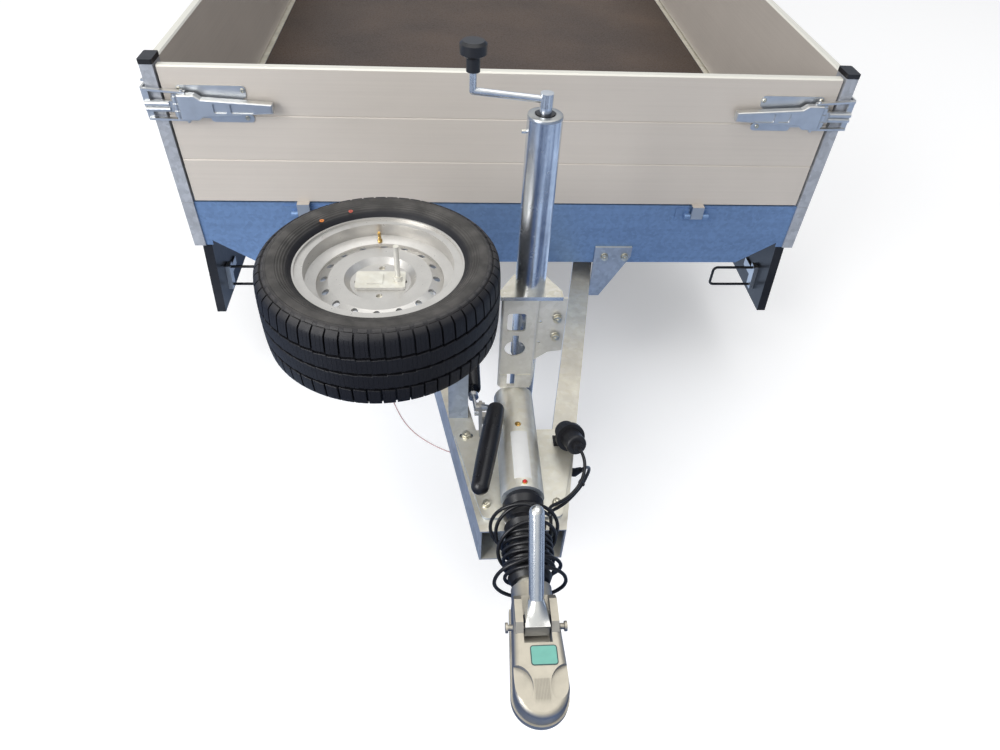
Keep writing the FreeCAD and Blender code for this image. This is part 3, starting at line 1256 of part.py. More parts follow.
def jack_outer_tube():
    """Fixed tube of the jack, with its flange, the screw's top bearing and a grease nipple."""
    x, y = JACK_X, -JACK_Y
    tube = pipe(V(x, y, JACK_FOOT_HEIGHT), V(x, y, JACK_TOP_HEIGHT), JACK_RADIUS, JACK_WALL)
    front = -BRACKET_FRONT_Y
    rear = y + JACK_RADIUS
    z = JACK_PLATE_HEIGHT
    half, rear_half = JACK_PLATE_HALF_WIDTH, JACK_PLATE_REAR_HALF_WIDTH
    shoulder = front + JACK_PLATE_SHOULDER
    flange = prism([V(x - half, front, z), V(x + half, front, z), V(x + half, shoulder, z),
                    V(x + rear_half, rear, z), V(x - rear_half, rear, z), V(x - half, shoulder, z)],
                   V(0, 0, JACK_PLATE_WALL))
    hole = Part.makeCylinder(JACK_RADIUS - JACK_WALL, JACK_PLATE_WALL + OVERRUN * 2,
                             V(x, y, z - OVERRUN))
    lid = Part.makeCylinder(JACK_RADIUS, JACK_WALL, V(x, y, JACK_TOP_HEIGHT))
    sleeve = Part.makeCylinder(JACK_SLEEVE_RADIUS, JACK_SLEEVE_HEIGHT, V(x, y, JACK_TOP_HEIGHT))
    nipple_z = JACK_TOP_HEIGHT - JACK_NIPPLE_DROP
    nipple = rod(V(x - JACK_RADIUS + JACK_WALL / 2, y, nipple_z),
                 V(x - JACK_RADIUS - JACK_NIPPLE_REACH, y, nipple_z), JACK_NIPPLE_RADIUS)
    return union([tube, flange.cut(hole), lid, sleeve, nipple])


def knob():
    """Round knob with a narrow neck, along +X from the origin."""
    neck, head, high = KNOB_NECK_RADIUS, KNOB_RADIUS, KNOB_HEIGHT
    flare = KNOB_NECK_HEIGHT + KNOB_FLARE
    return revolved([(0, 0), (0, neck), (KNOB_NECK_HEIGHT, neck), (flare, head),
                     (high - KNOB_EDGE, head), (high, head - KNOB_EDGE), (high, 0)])


def jack_crank():
    """Crank with its hub on the screw and a T-shaped knob."""
    x, y = JACK_X, -JACK_Y
    low = JACK_TOP_HEIGHT + JACK_SLEEVE_HEIGHT + SEAT_GAP
    z = low + CRANK_HUB_HEIGHT / 2
    hub = Part.makeCylinder(CRANK_HUB_RADIUS, CRANK_HUB_HEIGHT, V(x, y, low))
    arm_end = V(x - CRANK_ARM, y, z + CRANK_ARM_RISE)
    arm = rod(V(x, y, z), arm_end, CRANK_ROD_RADIUS)
    corner = Part.makeSphere(CRANK_ROD_RADIUS, arm_end)
    stem_top = arm_end + V(0, 0, CRANK_STEM)
    stem = rod(arm_end, stem_top, CRANK_ROD_RADIUS)
    return union([hub, arm, corner, stem, placed(knob(), stem_top, V(0, 1, 0), -QUARTER_TURN)])


def jack_inner_leg():
    """Sliding tube with the wheel fork below it."""
    x, y = JACK_X, -JACK_Y
    top = JACK_FOOT_HEIGHT + LEG_ENGAGED
    crown = FORK_CROWN_HEIGHT
    tube = pipe(V(x, y, crown), V(x, y, top), LEG_RADIUS, LEG_WALL)
    inner = JOCKEY_WIDTH / 2 + FORK_GAP
    outer = inner + FORK_WALL
    axle_y, axle_z = -JOCKEY_Y, JOCKEY_RADIUS
    front = y - LEG_RADIUS
    rear = axle_y + FORK_ARM_HALF_WIDTH
    plate = box(x - outer, x + outer, front, rear, crown, crown + FORK_CROWN_WALL)
    pieces = [tube, plate]
    for sign in (-1, 1):
        side = x + inner * sign
        arm = prism([V(side, front, crown + FORK_CROWN_WALL), V(side, rear, crown + FORK_CROWN_WALL),
                     V(side, rear, axle_z), V(side, axle_y, axle_z - FORK_ARM_HALF_WIDTH),
                     V(side, axle_y - FORK_ARM_HALF_WIDTH, axle_z)],
                    V(FORK_WALL * sign, 0, 0))
        pieces.append(arm)
    pieces.append(rod(V(x - outer, axle_y, axle_z), V(x + outer, axle_y, axle_z),
                      JOCKEY_AXLE_RADIUS))
    return union(pieces)


def jockey_wheel():
    """Solid-tyred wheel of the jack."""
    half = JOCKEY_WIDTH / 2
    bore = JOCKEY_AXLE_RADIUS + RUNNING_GAP
    web = JOCKEY_WIDTH / 6
    edge = JOCKEY_WIDTH / 5
    profile = [(-half, bore), (-half, JOCKEY_HUB_RADIUS), (-web, JOCKEY_HUB_RADIUS),
               (-web, JOCKEY_RIM_RADIUS), (-half, JOCKEY_RIM_RADIUS), (-half, JOCKEY_RADIUS - edge),
               (-half + edge, JOCKEY_RADIUS), (half - edge, JOCKEY_RADIUS),
               (half, JOCKEY_RADIUS - edge), (half, JOCKEY_RIM_RADIUS), (web, JOCKEY_RIM_RADIUS),
               (web, JOCKEY_HUB_RADIUS), (half, JOCKEY_HUB_RADIUS), (half, bore)]
    return placed(revolved(profile), V(JACK_X, -JOCKEY_Y, JOCKEY_RADIUS))


# Wheels and axles

def tyre():
    """Tyre about the X axis, with round walls and straight tread grooves."""
    half, tread = TYRE_WIDTH / 2, TYRE_TREAD_WIDTH / 2
    rim_side = RIM_WIDTH / 2 - SEAT_GAP
    bead = BEAD_RADIUS + SEAT_GAP
    clear = RIM_FLANGE_RADIUS + SEAT_GAP
    middle = (TYRE_RADIUS + RIM_FLANGE_RADIUS) / 2
    shoulder = TYRE_RADIUS - TYRE_SHOULDER_DROP
    inner_top = TYRE_RADIUS - TYRE_WALL

    def round_stretch(start, through, end, count):
        ends = [V(along, 0, radius) for along, radius in (start, through, end)]
        points = Part.Arc(*ends).toShape().discretize(count)
        return [(point.x, point.z) for point in points]

    def wall(sign):
        edge = ((half - TYRE_SHOULDER_DROP / 2) * sign, shoulder - TYRE_SHOULDER_DROP)
        corner = round_stretch((tread * sign, TYRE_RADIUS),
                               ((half - TYRE_SHOULDER_DROP) * sign, shoulder), edge,
                               SHOULDER_POINTS)
        flank = round_stretch(edge, (half * sign, middle), (RIM_HALF_WIDTH * sign, clear),
                              FLANK_POINTS)
        return corner + flank[1:] + [(rim_side * sign, clear), (rim_side * sign, bead),
                                     ((rim_side - TYRE_WALL) * sign, bead)]

    crown = []
    for share in TREAD_GROOVE_SHARES:
        centre = TREAD_GROOVE_SPACING * share
        low, high = centre - TREAD_GROOVE_WIDTH / 2, centre + TREAD_GROOVE_WIDTH / 2
        floor = TYRE_RADIUS - TREAD_GROOVE_DEPTH
        crown += [(low, TYRE_RADIUS), (low, floor), (high, floor), (high, TYRE_RADIUS)]
    lining = [((half - TYRE_WALL) * sign, radius) for sign, radius in
              ((1, middle), (1, inner_top), (-1, inner_top), (-1, middle))]
    return revolved(crown + wall(1) + lining + wall(-1)[::-1])


def rim():
    """Pressed steel rim about the X axis; its outer face looks along +X."""
    half, side, wall = RIM_HALF_WIDTH, RIM_WIDTH / 2, RIM_WALL
    well, edge = RIM_WELL_RADIUS, RIM_WELL_HALF_WIDTH
    outer = [(-half, RIM_FLANGE_RADIUS), (-side, RIM_FLANGE_RADIUS), (-side, BEAD_RADIUS),
             (-edge - wall * 2, BEAD_RADIUS), (-edge, well), (edge, well),
             (edge + wall * 2, BEAD_RADIUS), (side, BEAD_RADIUS), (side, RIM_FLANGE_RADIUS),
             (half, RIM_FLANGE_RADIUS)]
    inner = [(half, RIM_FLANGE_RADIUS - wall), (side + wall, RIM_FLANGE_RADIUS - wall),
             (side + wall, BEAD_RADIUS - wall), (edge + wall * 3, BEAD_RADIUS - wall),
             (edge + wall, well - wall), (-edge - wall, well - wall),
             (-edge - wall * 3, BEAD_RADIUS - wall), (-side - wall, BEAD_RADIUS - wall),
             (-side - wall, RIM_FLANGE_RADIUS - wall), (-half, RIM_FLANGE_RADIUS - wall)]
    barrel = revolved(outer + inner)
    face, back = DISC_OFFSET, DISC_OFFSET - DISC_WALL
    crown = DISC_CROWN_HEIGHT
    join = well - wall + OVERLAP
    disc = revolved([(face, BORE_RADIUS), (face, DISC_CROWN_RADIUS - crown),
                     (face + crown, DISC_CROWN_RADIUS), (face + crown, DISC_RING_RADIUS),
                     (face, join), (back, join), (back + crown, DISC_RING_RADIUS - DISC_WALL),
                     (back + crown, DISC_CROWN_RADIUS), (back, DISC_CROWN_RADIUS - crown),
                     (back, BORE_RADIUS)])
    tools = []
    for index in range(VENT_COUNT):
        angle = math.tau * index / VENT_COUNT
        tools.append(disc_hole(VENT_CIRCLE_RADIUS, VENT_RADIUS, angle))
    for index in range(BOLT_HOLE_COUNT):
        angle = math.tau * index / BOLT_HOLE_COUNT
        tools.append(disc_hole(BOLT_CIRCLE_RADIUS, BOLT_HOLE_RADIUS, angle))
    return union([barrel, disc.cut(tools)])


def disc_hole(circle, radius, angle):
    """Cutter for one hole through the wheel disc."""
    start = V(DISC_OFFSET - DISC_WALL - OVERRUN, circle * math.cos(angle),
              circle * math.sin(angle))
    return rod(start, start + V(DISC_WALL + DISC_CROWN_HEIGHT + OVERRUN * 2, 0, 0), radius)


def hub_and_drum():
    """Brake drum and hub that turn with a road wheel, on the inner side of its disc."""
    back = DISC_OFFSET - DISC_WALL
    bore = SPINDLE_RADIUS + RUNNING_GAP
    drum_end = back - DRUM_WIDTH
    return revolved([(drum_end, DRUM_RADIUS), (back - DRUM_WALL, DRUM_RADIUS),
                     (back, DISC_CROWN_RADIUS - DISC_CROWN_HEIGHT), (back, HUB_CAP_RADIUS),
                     (back + HUB_CAP_LENGTH, HUB_CAP_RADIUS),
                     (back + HUB_CAP_LENGTH + DRUM_WALL, HUB_CAP_RADIUS - DRUM_WALL),
                     (back + HUB_CAP_LENGTH + DRUM_WALL, 0), (back, 0), (back, bore),
                     (drum_end - DRUM_WALL, bore), (drum_end - DRUM_WALL, HUB_RADIUS),
                     (back - DRUM_WALL * 2, HUB_RADIUS), (back - DRUM_WALL * 2,
                                                          DRUM_RADIUS - DRUM_WALL),
                     (drum_end, DRUM_RADIUS - DRUM_WALL)])


def wheel_at(shape, side, axle_y):
    """A wheel piece on its axle, its outer face away from the trailer."""
    right = placed(shape, V(WHEEL_X, axle_y, TYRE_RADIUS))
    return right if side > 0 else mirrored(right)


def axle(axle_y):
    """Torsion axle: a tube below the beams, with a trailing arm and spindle at each end."""
    half = AXLE_TUBE_SIZE / 2
    tube_y, z = axle_y - ARM_RUN, AXLE_TUBE_HEIGHT
    end = AXLE_TUBE_END
    outer = box(-end, end, tube_y - half, tube_y + half, z - half, z + half)
    pieces = [outer]
    pad_x0, pad_x1 = BEAM_OUTER_TAIL - BEAM_WIDTH, BEAM_OUTER_TAIL
    drum_end = WHEEL_X + DISC_OFFSET - DISC_WALL - DRUM_WIDTH
    for sign in (-1, 1):
        pieces.append(box(pad_x0 * sign, pad_x1 * sign, tube_y - AXLE_PAD_LENGTH / 2,
                          tube_y + AXLE_PAD_LENGTH / 2, z + half, z + half + AXLE_PAD_WALL))
        arm = prism([V(end * sign, tube_y - half, z + ARM_HALF_HEIGHT),
                     V(end * sign, tube_y - half, z - ARM_HALF_HEIGHT),
                     V(end * sign, tube_y + half, z - ARM_HALF_HEIGHT),
                     V(end * sign, axle_y + ARM_HALF_HEIGHT, TYRE_RADIUS - ARM_HALF_HEIGHT),
                     V(end * sign, axle_y + ARM_HALF_HEIGHT, TYRE_RADIUS + ARM_HALF_HEIGHT),
                     V(end * sign, axle_y - ARM_HALF_HEIGHT, TYRE_RADIUS + ARM_HALF_HEIGHT)],
                    V(-ARM_THICKNESS * sign, 0, 0))
        plate_x = drum_end - BACKPLATE_GAP - BACKPLATE_WALL
        spindle_end = WHEEL_X + DISC_OFFSET - DISC_WALL - DRUM_WALL
        spindle = rod(V((end - ARM_THICKNESS) * sign, axle_y, TYRE_RADIUS),
                      V(spindle_end * sign, axle_y, TYRE_RADIUS), SPINDLE_RADIUS)
        collar = rod(V(end * sign, axle_y, TYRE_RADIUS),
                     V((drum_end - DRUM_WALL - BACKPLATE_GAP) * sign, axle_y, TYRE_RADIUS),
                     HUB_RADIUS)
        plate = rod(V(plate_x * sign, axle_y, TYRE_RADIUS),
                    V((plate_x + BACKPLATE_WALL) * sign, axle_y, TYRE_RADIUS), DRUM_RADIUS)
        opening = rod(V((plate_x - OVERRUN) * sign, axle_y, TYRE_RADIUS),
                      V((plate_x + BACKPLATE_WALL + OVERRUN) * sign, axle_y, TYRE_RADIUS),
                      HUB_RADIUS + BACKPLATE_GAP)
        bridge = box((end) * sign, (plate_x + BACKPLATE_WALL) * sign,
                     axle_y + HUB_RADIUS + BACKPLATE_GAP, axle_y + DRUM_RADIUS - DRUM_WALL * 2,
                     TYRE_RADIUS - DRUM_WALL, TYRE_RADIUS + DRUM_WALL)
        foot = box((end - ARM_THICKNESS) * sign, end * sign, axle_y,
                   axle_y + DRUM_RADIUS - DRUM_WALL * 2, TYRE_RADIUS - DRUM_WALL,
                   TYRE_RADIUS + DRUM_WALL)
        pieces += [arm, spindle, collar, plate.cut(opening), bridge, foot]
    return union(pieces)


def mudguard():
    """Flat-topped guard over the two right-hand wheels."""
    first, last = AXLE_Y
    z = TYRE_RADIUS

    def arch(radius):
        low = math.radians(MUDGUARD_END_ANGLE)
        across, up = radius * math.cos(low), radius * math.sin(low)
        slant = radius * math.cos(math.pi / 4)
        front = Part.Arc(V(0, first - across, z + up), V(0, first - slant, z + slant),
                         V(0, first, z + radius)).toShape()
        top = Part.LineSegment(V(0, first, z + radius), V(0, last, z + radius)).toShape()
        rear = Part.Arc(V(0, last, z + radius), V(0, last + slant, z + slant),
                        V(0, last + across, z + up)).toShape()
        return [front, top, rear], V(0, first - across, z + up), V(0, last + across, z + up)

    outer, outer_front, outer_rear = arch(MUDGUARD_RADIUS)
    inner, inner_front, inner_rear = arch(MUDGUARD_RADIUS - MUDGUARD_WALL)
    ends = [Part.LineSegment(outer_front, inner_front).toShape(),
            Part.LineSegment(outer_rear, inner_rear).toShape()]
    wire = Part.Wire(Part.__sortEdges__(outer + inner + ends))
    shell = Part.Face(wire).extrude(V(MUDGUARD_WIDTH, 0, 0))
    shell.translate(V(WHEEL_X - MUDGUARD_WIDTH / 2, 0, 0))
    hangers = []
    for y in cross_member_places():
        if first < y < last - CROSS_MEMBER_WIDTH:
            hangers.append(box(WHEEL_X - HANGER_HALF_WIDTH, WHEEL_X + HANGER_HALF_WIDTH,
                               y, y + CROSS_MEMBER_WIDTH, z + MUDGUARD_RADIUS - MUDGUARD_WALL,
                               CROSS_BOTTOM - SEAT_GAP))
    return union([shell] + hangers)


# Plug, lead and safety cable

def plug_holder():
    """Round parking socket for the plug on the right-hand wing, and the lead's gland."""
    axis = V(PLUG_DIRECTION).normalize()
    face = PLUG_RING + axis * (PLUG_RING_DEPTH / 2)
    rear = face - axis * PLUG_RING_DEPTH
    ring = rod(rear, face, PLUG_RING_RADIUS)
    back = rod(rear, rear - axis * HOLDER_BACK_LENGTH, HOLDER_BACK_RADIUS)
    low = BEAM_TOP + WING_THICKNESS + SEAT_GAP
    middle = rear - axis * (HOLDER_BACK_LENGTH / 2)
    half = HOLDER_FOOT_HALF_WIDTH
    stem = box(middle.x - half, middle.x + half, middle.y - half, middle.y + half, low, middle.z)
    foot = box(middle.x - half * 2, middle.x + half, middle.y - half, middle.y + half, low,
               low + HOLDER_FOOT_WALL)
    out = V(1, -BEAM_SLOPE, 0).normalize()
    seat = V(beam_outer(-GLAND_Y), -GLAND_Y, BEAM_TOP - GLAND_DROP) + out * SEAT_GAP
    boss = seat + out * GLAND_BOSS
    lean = V(GLAND_DIRECTION).normalize()
    gland = union([rod(seat, boss, GLAND_RADIUS), Part.makeSphere(GLAND_RADIUS, boss),
                   Part.makeCone(GLAND_RADIUS, GLAND_TIP_RADIUS, GLAND_LENGTH, boss, lean)])
    gland = gland.common(rod(seat, seat + out * GLAND_LENGTH * 2, GLAND_LENGTH * 2))
    return group([union([ring, back, stem, foot]), gland])


def plug():
    """Multi-pin plug in its holder, with the neck that the lead enters."""
    axis = V(PLUG_DIRECTION).normalize()
    start = PLUG_RING + axis * (PLUG_RING_DEPTH / 2 + SEAT_GAP)
    body = rod(start, start + axis * PLUG_LENGTH, PLUG_RADIUS)
    rim = [e for e in body.Edges if (e.CenterOfMass - start).dot(axis) > PLUG_LENGTH - OVERLAP]
    body = body.makeFillet(PLUG_CORNER, rim)
    neck = rod(start + axis * (PLUG_LENGTH - OVERLAP),
               start + axis * (PLUG_LENGTH + PLUG_NECK_LENGTH), PLUG_NECK_RADIUS)
    return union([body, neck])


def lead_winding():
    """Outer shape of the lead where it is wound round the bellows."""
    rear = HOUSING_FRONT + WINDING_AHEAD
    length = BELLOWS_FRONT + WINDING_FRONT_GAP - rear
    bore = BELLOWS_RADIUS + WINDING_GAP
    outer = [(rear + length * share, radius)
             for share, radius in zip(WINDING_STATION_SHARES, WINDING_RADII)]
    ring = revolved(outer + [(rear + length, bore), (rear, bore)])
    return placed(ring, V(0, 0, TUBE_AXIS_HEIGHT), angle=-QUARTER_TURN)


# Spare wheel

def spare_place(shape):
    """A wheel piece laid flat on the carrier, its outer face up."""
    return placed(shape, V(-SPARE_X, -SPARE_Y, SPARE_HEIGHT), V(0, 1, 0), -QUARTER_TURN)


def spare_carrier():
    """Post on the left-hand beam, arm below the wheel and the flange it is clamped to."""
    x = -SPARE_X
    y = -SPARE_Y
    half = CARRIER_SIZE / 2
    beam_x = -(beam_outer(y) - BEAM_WIDTH / 2)
    top = CARRIER_ARM_TOP
    face = SPARE_HEIGHT + DISC_OFFSET - DISC_WALL - SEAT_GAP
    post = box(beam_x - half, beam_x + half, y - half, y + half, BEAM_TOP + SEAT_GAP,
               top - CARRIER_SIZE)
    arm = box(x - half, beam_x + half, y - half, y + half, top - CARRIER_SIZE, top)
    hub = Part.makeCylinder(CARRIER_HUB_RADIUS, face - top, V(x, y, top))
    flange = Part.makeCylinder(CARRIER_FLANGE_RADIUS, CARRIER_FLANGE_WALL,
                               V(x, y, face - CARRIER_FLANGE_WALL))
    return union([post, arm, hub, flange])


def spare_clamp():
    """Plate with a raised pad, threaded rod and nut that hold the spare wheel down."""
    x, y = -SPARE_X, -SPARE_Y
    low = SPARE_HEIGHT + DISC_OFFSET + SEAT_GAP
    half_length, half_width = CLAMP_LENGTH / 2, CLAMP_WIDTH / 2
    plate = box(x - half_length, x + half_length, y - half_width, y + half_width, low,
                low + CLAMP_WALL)
    plate = plate.makeFillet(CLAMP_CORNER, edges_along(plate, V(0, 0, 1)))
    pad_half = CLAMP_PAD / 2
    pad_x = x - CLAMP_PAD_OFFSET
    pad = box(pad_x - pad_half, pad_x + pad_half, y - pad_half, y + pad_half, low,
              low + CLAMP_WALL + CLAMP_PAD_RISE)
    start = V(x + CLAMP_ROD_OFFSET, y, low)
    nut = Part.makeCylinder(CLAMP_NUT_RADIUS, CLAMP_NUT_HEIGHT, start + V(0, 0, CLAMP_WALL))
    bar = rod(start, start + V(0, 0, CLAMP_ROD_LENGTH), CLAMP_ROD_RADIUS)
    return union([plate, pad, bar, nut])


# Front corners and tail

def side_plate():
    """Sheet that hangs below the side rail behind the front corner, with a turned edge."""
    top, bottom = RAIL_BOTTOM - SEAT_GAP, SIDE_PLATE_BOTTOM
    x0, x1 = SIDE_PLATE_TOP_X, SIDE_PLATE_BOTTOM_X
    wall = SIDE_PLATE_WALL
    web = prism([V(x0, 0, top), V(x0 + wall, 0, top), V(x1 + wall, 0, bottom), V(x1, 0, bottom)],
                V(0, SIDE_PLATE_LENGTH, 0))
    edge = prism([V(x0, 0, top), V(x0 + SIDE_PLATE_FLANGE, 0, top),
                  V(x1 + SIDE_PLATE_FLANGE, 0, bottom), V(x1, 0, bottom)], V(0, wall, 0))
    plate = union([web, edge])
    plate.translate(V(0, SIDE_PLATE_FRONT_Y, 0))
    return plate


def side_plate_inner(z):
    """Where the inner face of the right-hand side plate lies at a height."""
    share = (RAIL_BOTTOM - SEAT_GAP - z) / (RAIL_BOTTOM - SEAT_GAP - SIDE_PLATE_BOTTOM)
    return SIDE_PLATE_TOP_X + (SIDE_PLATE_BOTTOM_X - SIDE_PLATE_TOP_X) * share


def cradle_leg_heights():
    """Heights of the upper and the lower leg of a wire cradle."""
    high = RAIL_BOTTOM - CRADLE_DROP
    return high, high - CRADLE_HEIGHT


def cradle():
    """Wire loop that holds a wheel chock on the inside of the right-hand side plate."""
    high, low = cradle_leg_heights()
    y = CRADLE_Y
    starts = [side_plate_inner(z) - SEAT_GAP * 2 - CLAMP_SADDLE_DEPTH for z in (high, low)]
    inner = starts[0] - CRADLE_REACH
    wire, _ = arc_path([V(starts[0], y, high), V(inner, y, high), V(inner, y, low),
                        V(starts[1], y, low)], CRADLE_BEND / CRADLE_HEIGHT)
    ring = Part.Wire(Part.makeCircle(CRADLE_ROD_RADIUS, V(starts[0], y, high), V(-1, 0, 0)))
    return wire.makePipeShell([ring], True, False)


def against_side_plate(depth, y0, y1, low, high):
    """Block that lies on the slanted inner face of the right-hand side plate."""
    faces = [(side_plate_inner(z) - SEAT_GAP, z) for z in (low, high)]
    outline = [V(x, y0, z) for x, z in faces] + [V(x - depth, y0, z) for x, z in faces[::-1]]
    return prism(outline, V(0, y1 - y0, 0))


def cradle_clamp():
    """Clamp bar with the saddle that holds both legs of a wire cradle."""
    high, low = cradle_leg_heights()
    start = CRADLE_Y - CLAMP_SADDLE_LENGTH / 2
    saddle = against_side_plate(CLAMP_SADDLE_DEPTH, start, start + CLAMP_SADDLE_LENGTH,
                                low - CLAMP_SADDLE_EDGE, high + CLAMP_SADDLE_EDGE)
    middle = (low + high) / 2
    bar = against_side_plate(CLAMP_BLOCK_WALL, start, start + CLAMP_BLOCK_LENGTH,
                             middle - CLAMP_BLOCK_HEIGHT / 2, middle + CLAMP_BLOCK_HEIGHT / 2)
    return union([saddle, bar])


def rear_lamp():
    """Rear lamp let into the rear panel."""
    top = FLOOR_HEIGHT - PANEL_DEPTH / 2 + LAMP_HEIGHT / 2
    return box(LAMP_CENTRE_X - LAMP_LENGTH / 2, LAMP_CENTRE_X + LAMP_LENGTH / 2,
               BED_LENGTH - LAMP_DEPTH, BED_LENGTH + LAMP_STAND_OUT, top - LAMP_HEIGHT, top)


def rear_panel():
    """Rear panel with an opening for each lamp."""
    top = FLOOR_HEIGHT - PANEL_DEPTH / 2 + LAMP_HEIGHT / 2 + LAMP_GAP
    low = top - LAMP_HEIGHT - LAMP_GAP * 2
    half = LAMP_LENGTH / 2 + LAMP_GAP
    hole = box(LAMP_CENTRE_X - half, LAMP_CENTRE_X + half, BED_LENGTH - LAMP_DEPTH * 2,
               BED_LENGTH + OVERRUN, low, top)
    return turned_to_tail(panel()).cut([hole, mirrored(hole)])


def main():
    os.makedirs("parts", exist_ok=True)
    save("drawbar_beams", drawbar_beams())
    save("overrun_housing", overrun_housing())
    save("drawtube", drawtube())
    save("bellows", bellows())
    save("coupling_head", coupling_head())
    save("coupling_lever", coupling_lever())
    save("handbrake_lever", handbrake_lever())
    save("handbrake_strut", handbrake_strut())
    save("jack_bracket", jack_bracket())
    save("jack_outer_tube", jack_outer_tube())
    save("jack_crank", jack_crank())
    save("jack_inner_leg", jack_inner_leg())
    save("jockey_wheel", jockey_wheel())
    save("plug_holder", plug_holder())
    save("plug", plug())
    save("lead_to_plug", tube_along(LEAD_TO_PLUG, LEAD_RADIUS))
    save("lead_to_gland", tube_along(LEAD_TO_GLAND, LEAD_RADIUS))
    save("lead_winding", lead_winding())
    save("safety_cable", tube_along(SAFETY_CABLE, CABLE_RADIUS))
    save("spare_carrier", spare_carrier())
    save("spare_clamp", spare_clamp())
    save("spare_rim", spare_place(rim()))
    save("spare_tyre", spare_place(tyre()))
    save("front_panel", panel())
    save("beam_tabs", both_sides(beam_tab()))
    save("bed_frame", bed_frame())
    save("rear_panel", rear_panel())
    save("floor_deck", floor_deck())
    save("corner_posts", corner_posts())
    save("post_caps", post_caps())
    save("side_plates", both_sides(side_plate()))
    save("chock_cradles", both_sides(cradle()))
    save("cradle_clamps", both_sides(cradle_clamp()))
    save("rear_lamps", both_sides(rear_lamp()))
    save("mudguards", both_sides(mudguard()))
    save("axles", group([axle(y) for y in AXLE_Y]))
    wheel = union([rim(), hub_and_drum()])
    rubber = tyre()
    for end, axle_y in zip(("front", "rear"), AXLE_Y):
        for name, side in (("left", -1), ("right", 1)):
            save(f"rim_{end}_{name}", wheel_at(wheel, side, axle_y))
            save(f"tyre_{end}_{name}", wheel_at(rubber, side, axle_y))
    save("front_board", end_board())
    save("tailgate", turned_to_tail(end_board()))
    save("front_latches", end_latches())
    save("tailgate_latches", turned_to_tail(end_latches()))
    for name, side in (("left", -1), ("right", 1)):
        save(f"{name}_board", side_board(side))
        save(f"{name}_latches", side_latches(side))


main()
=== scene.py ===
import math

import bmesh
import bpy
from bpy.props import FloatProperty, FloatVectorProperty, IntProperty, PointerProperty
from mathutils import Matrix, Vector


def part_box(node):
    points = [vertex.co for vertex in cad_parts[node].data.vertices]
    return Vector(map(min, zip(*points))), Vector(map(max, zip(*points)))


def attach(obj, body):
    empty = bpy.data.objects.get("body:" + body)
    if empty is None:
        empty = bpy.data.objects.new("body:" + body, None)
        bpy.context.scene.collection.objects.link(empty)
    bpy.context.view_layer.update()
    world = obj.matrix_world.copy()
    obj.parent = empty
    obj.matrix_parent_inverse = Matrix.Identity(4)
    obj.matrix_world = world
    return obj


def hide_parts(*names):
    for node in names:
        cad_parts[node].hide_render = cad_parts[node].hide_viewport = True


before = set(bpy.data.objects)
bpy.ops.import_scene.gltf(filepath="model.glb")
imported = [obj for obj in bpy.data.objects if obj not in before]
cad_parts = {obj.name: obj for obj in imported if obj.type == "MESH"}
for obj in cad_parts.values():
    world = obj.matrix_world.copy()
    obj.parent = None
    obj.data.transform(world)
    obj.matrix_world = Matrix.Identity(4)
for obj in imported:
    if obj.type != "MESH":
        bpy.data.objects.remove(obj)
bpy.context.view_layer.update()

bl_info = {
    "name": "Utility trailer looks",
    "version": (1, 0, 0),
    "blender": (4, 5, 0),
    "location": "3D View > Sidebar > Trailer",
    "description": "Finishes, tyres, lead, fixings, lamps and a plain studio for a flatbed trailer",
    "category": "Add Mesh",
}

# Places: x and z are the part's own, y is measured from the face of the front board
BOARD_FACE_Y = -0.905
LEFT, RIGHT = -1.0, 1.0
UP = Vector((0, 0, 1))
FRONTWARD = Vector((0, -1, 0))
CREASE = math.radians(32)
GRIP_CREASE = math.radians(50)
BEVEL_PROFILE = 0.5
MERGE = 1e-6
CORNERS = ("front_left", "front_right", "rear_left", "rear_right")

# Routes of the lead and the safety cable, chosen one by one
LEAD_TO_PLUG = (
    (0.14117, -0.77413, 0.43732), (0.1453, -0.7971, 0.4481), (0.148, -0.83, 0.439),
    (0.136, -0.861, 0.419), (0.108, -0.89, 0.41), (0.08, -0.91, 0.414),
    (0.054, -0.926, 0.421), (0.054, -0.9497, 0.421),
)
LEAD_TO_GLAND = (
    (0.16058, -0.75457, 0.33134), (0.1672, -0.7585, 0.3421), (0.172, -0.767, 0.357),
    (0.172, -0.781, 0.373), (0.167, -0.801, 0.388), (0.156, -0.826, 0.398),
    (0.14, -0.855, 0.403), (0.114, -0.884, 0.399), (0.086, -0.908, 0.397),
    (0.058, -0.926, 0.404), (0.058, -0.9497, 0.404),
)
SAFETY_CABLE = (
    (-0.306, -0.575, 0.5897), (-0.307, -0.574, 0.562), (-0.314, -0.566, 0.53),
    (-0.324, -0.55, 0.49), (-0.33, -0.534, 0.445), (-0.328, -0.522, 0.398),
    (-0.32, -0.516, 0.35), (-0.308, -0.518, 0.302), (-0.29, -0.528, 0.262),
    (-0.262, -0.546, 0.236), (-0.226, -0.566, 0.221), (-0.188, -0.588, 0.217),
    (-0.152, -0.606, 0.219), (-0.124, -0.618, 0.22), (-0.1, -0.626, 0.224),
    (-0.086, -0.63, 0.242), (-0.081, -0.63, 0.27), (-0.08, -0.629, 0.306),
    (-0.078, -0.628, 0.342), (-0.079, -0.628, 0.3737),
)

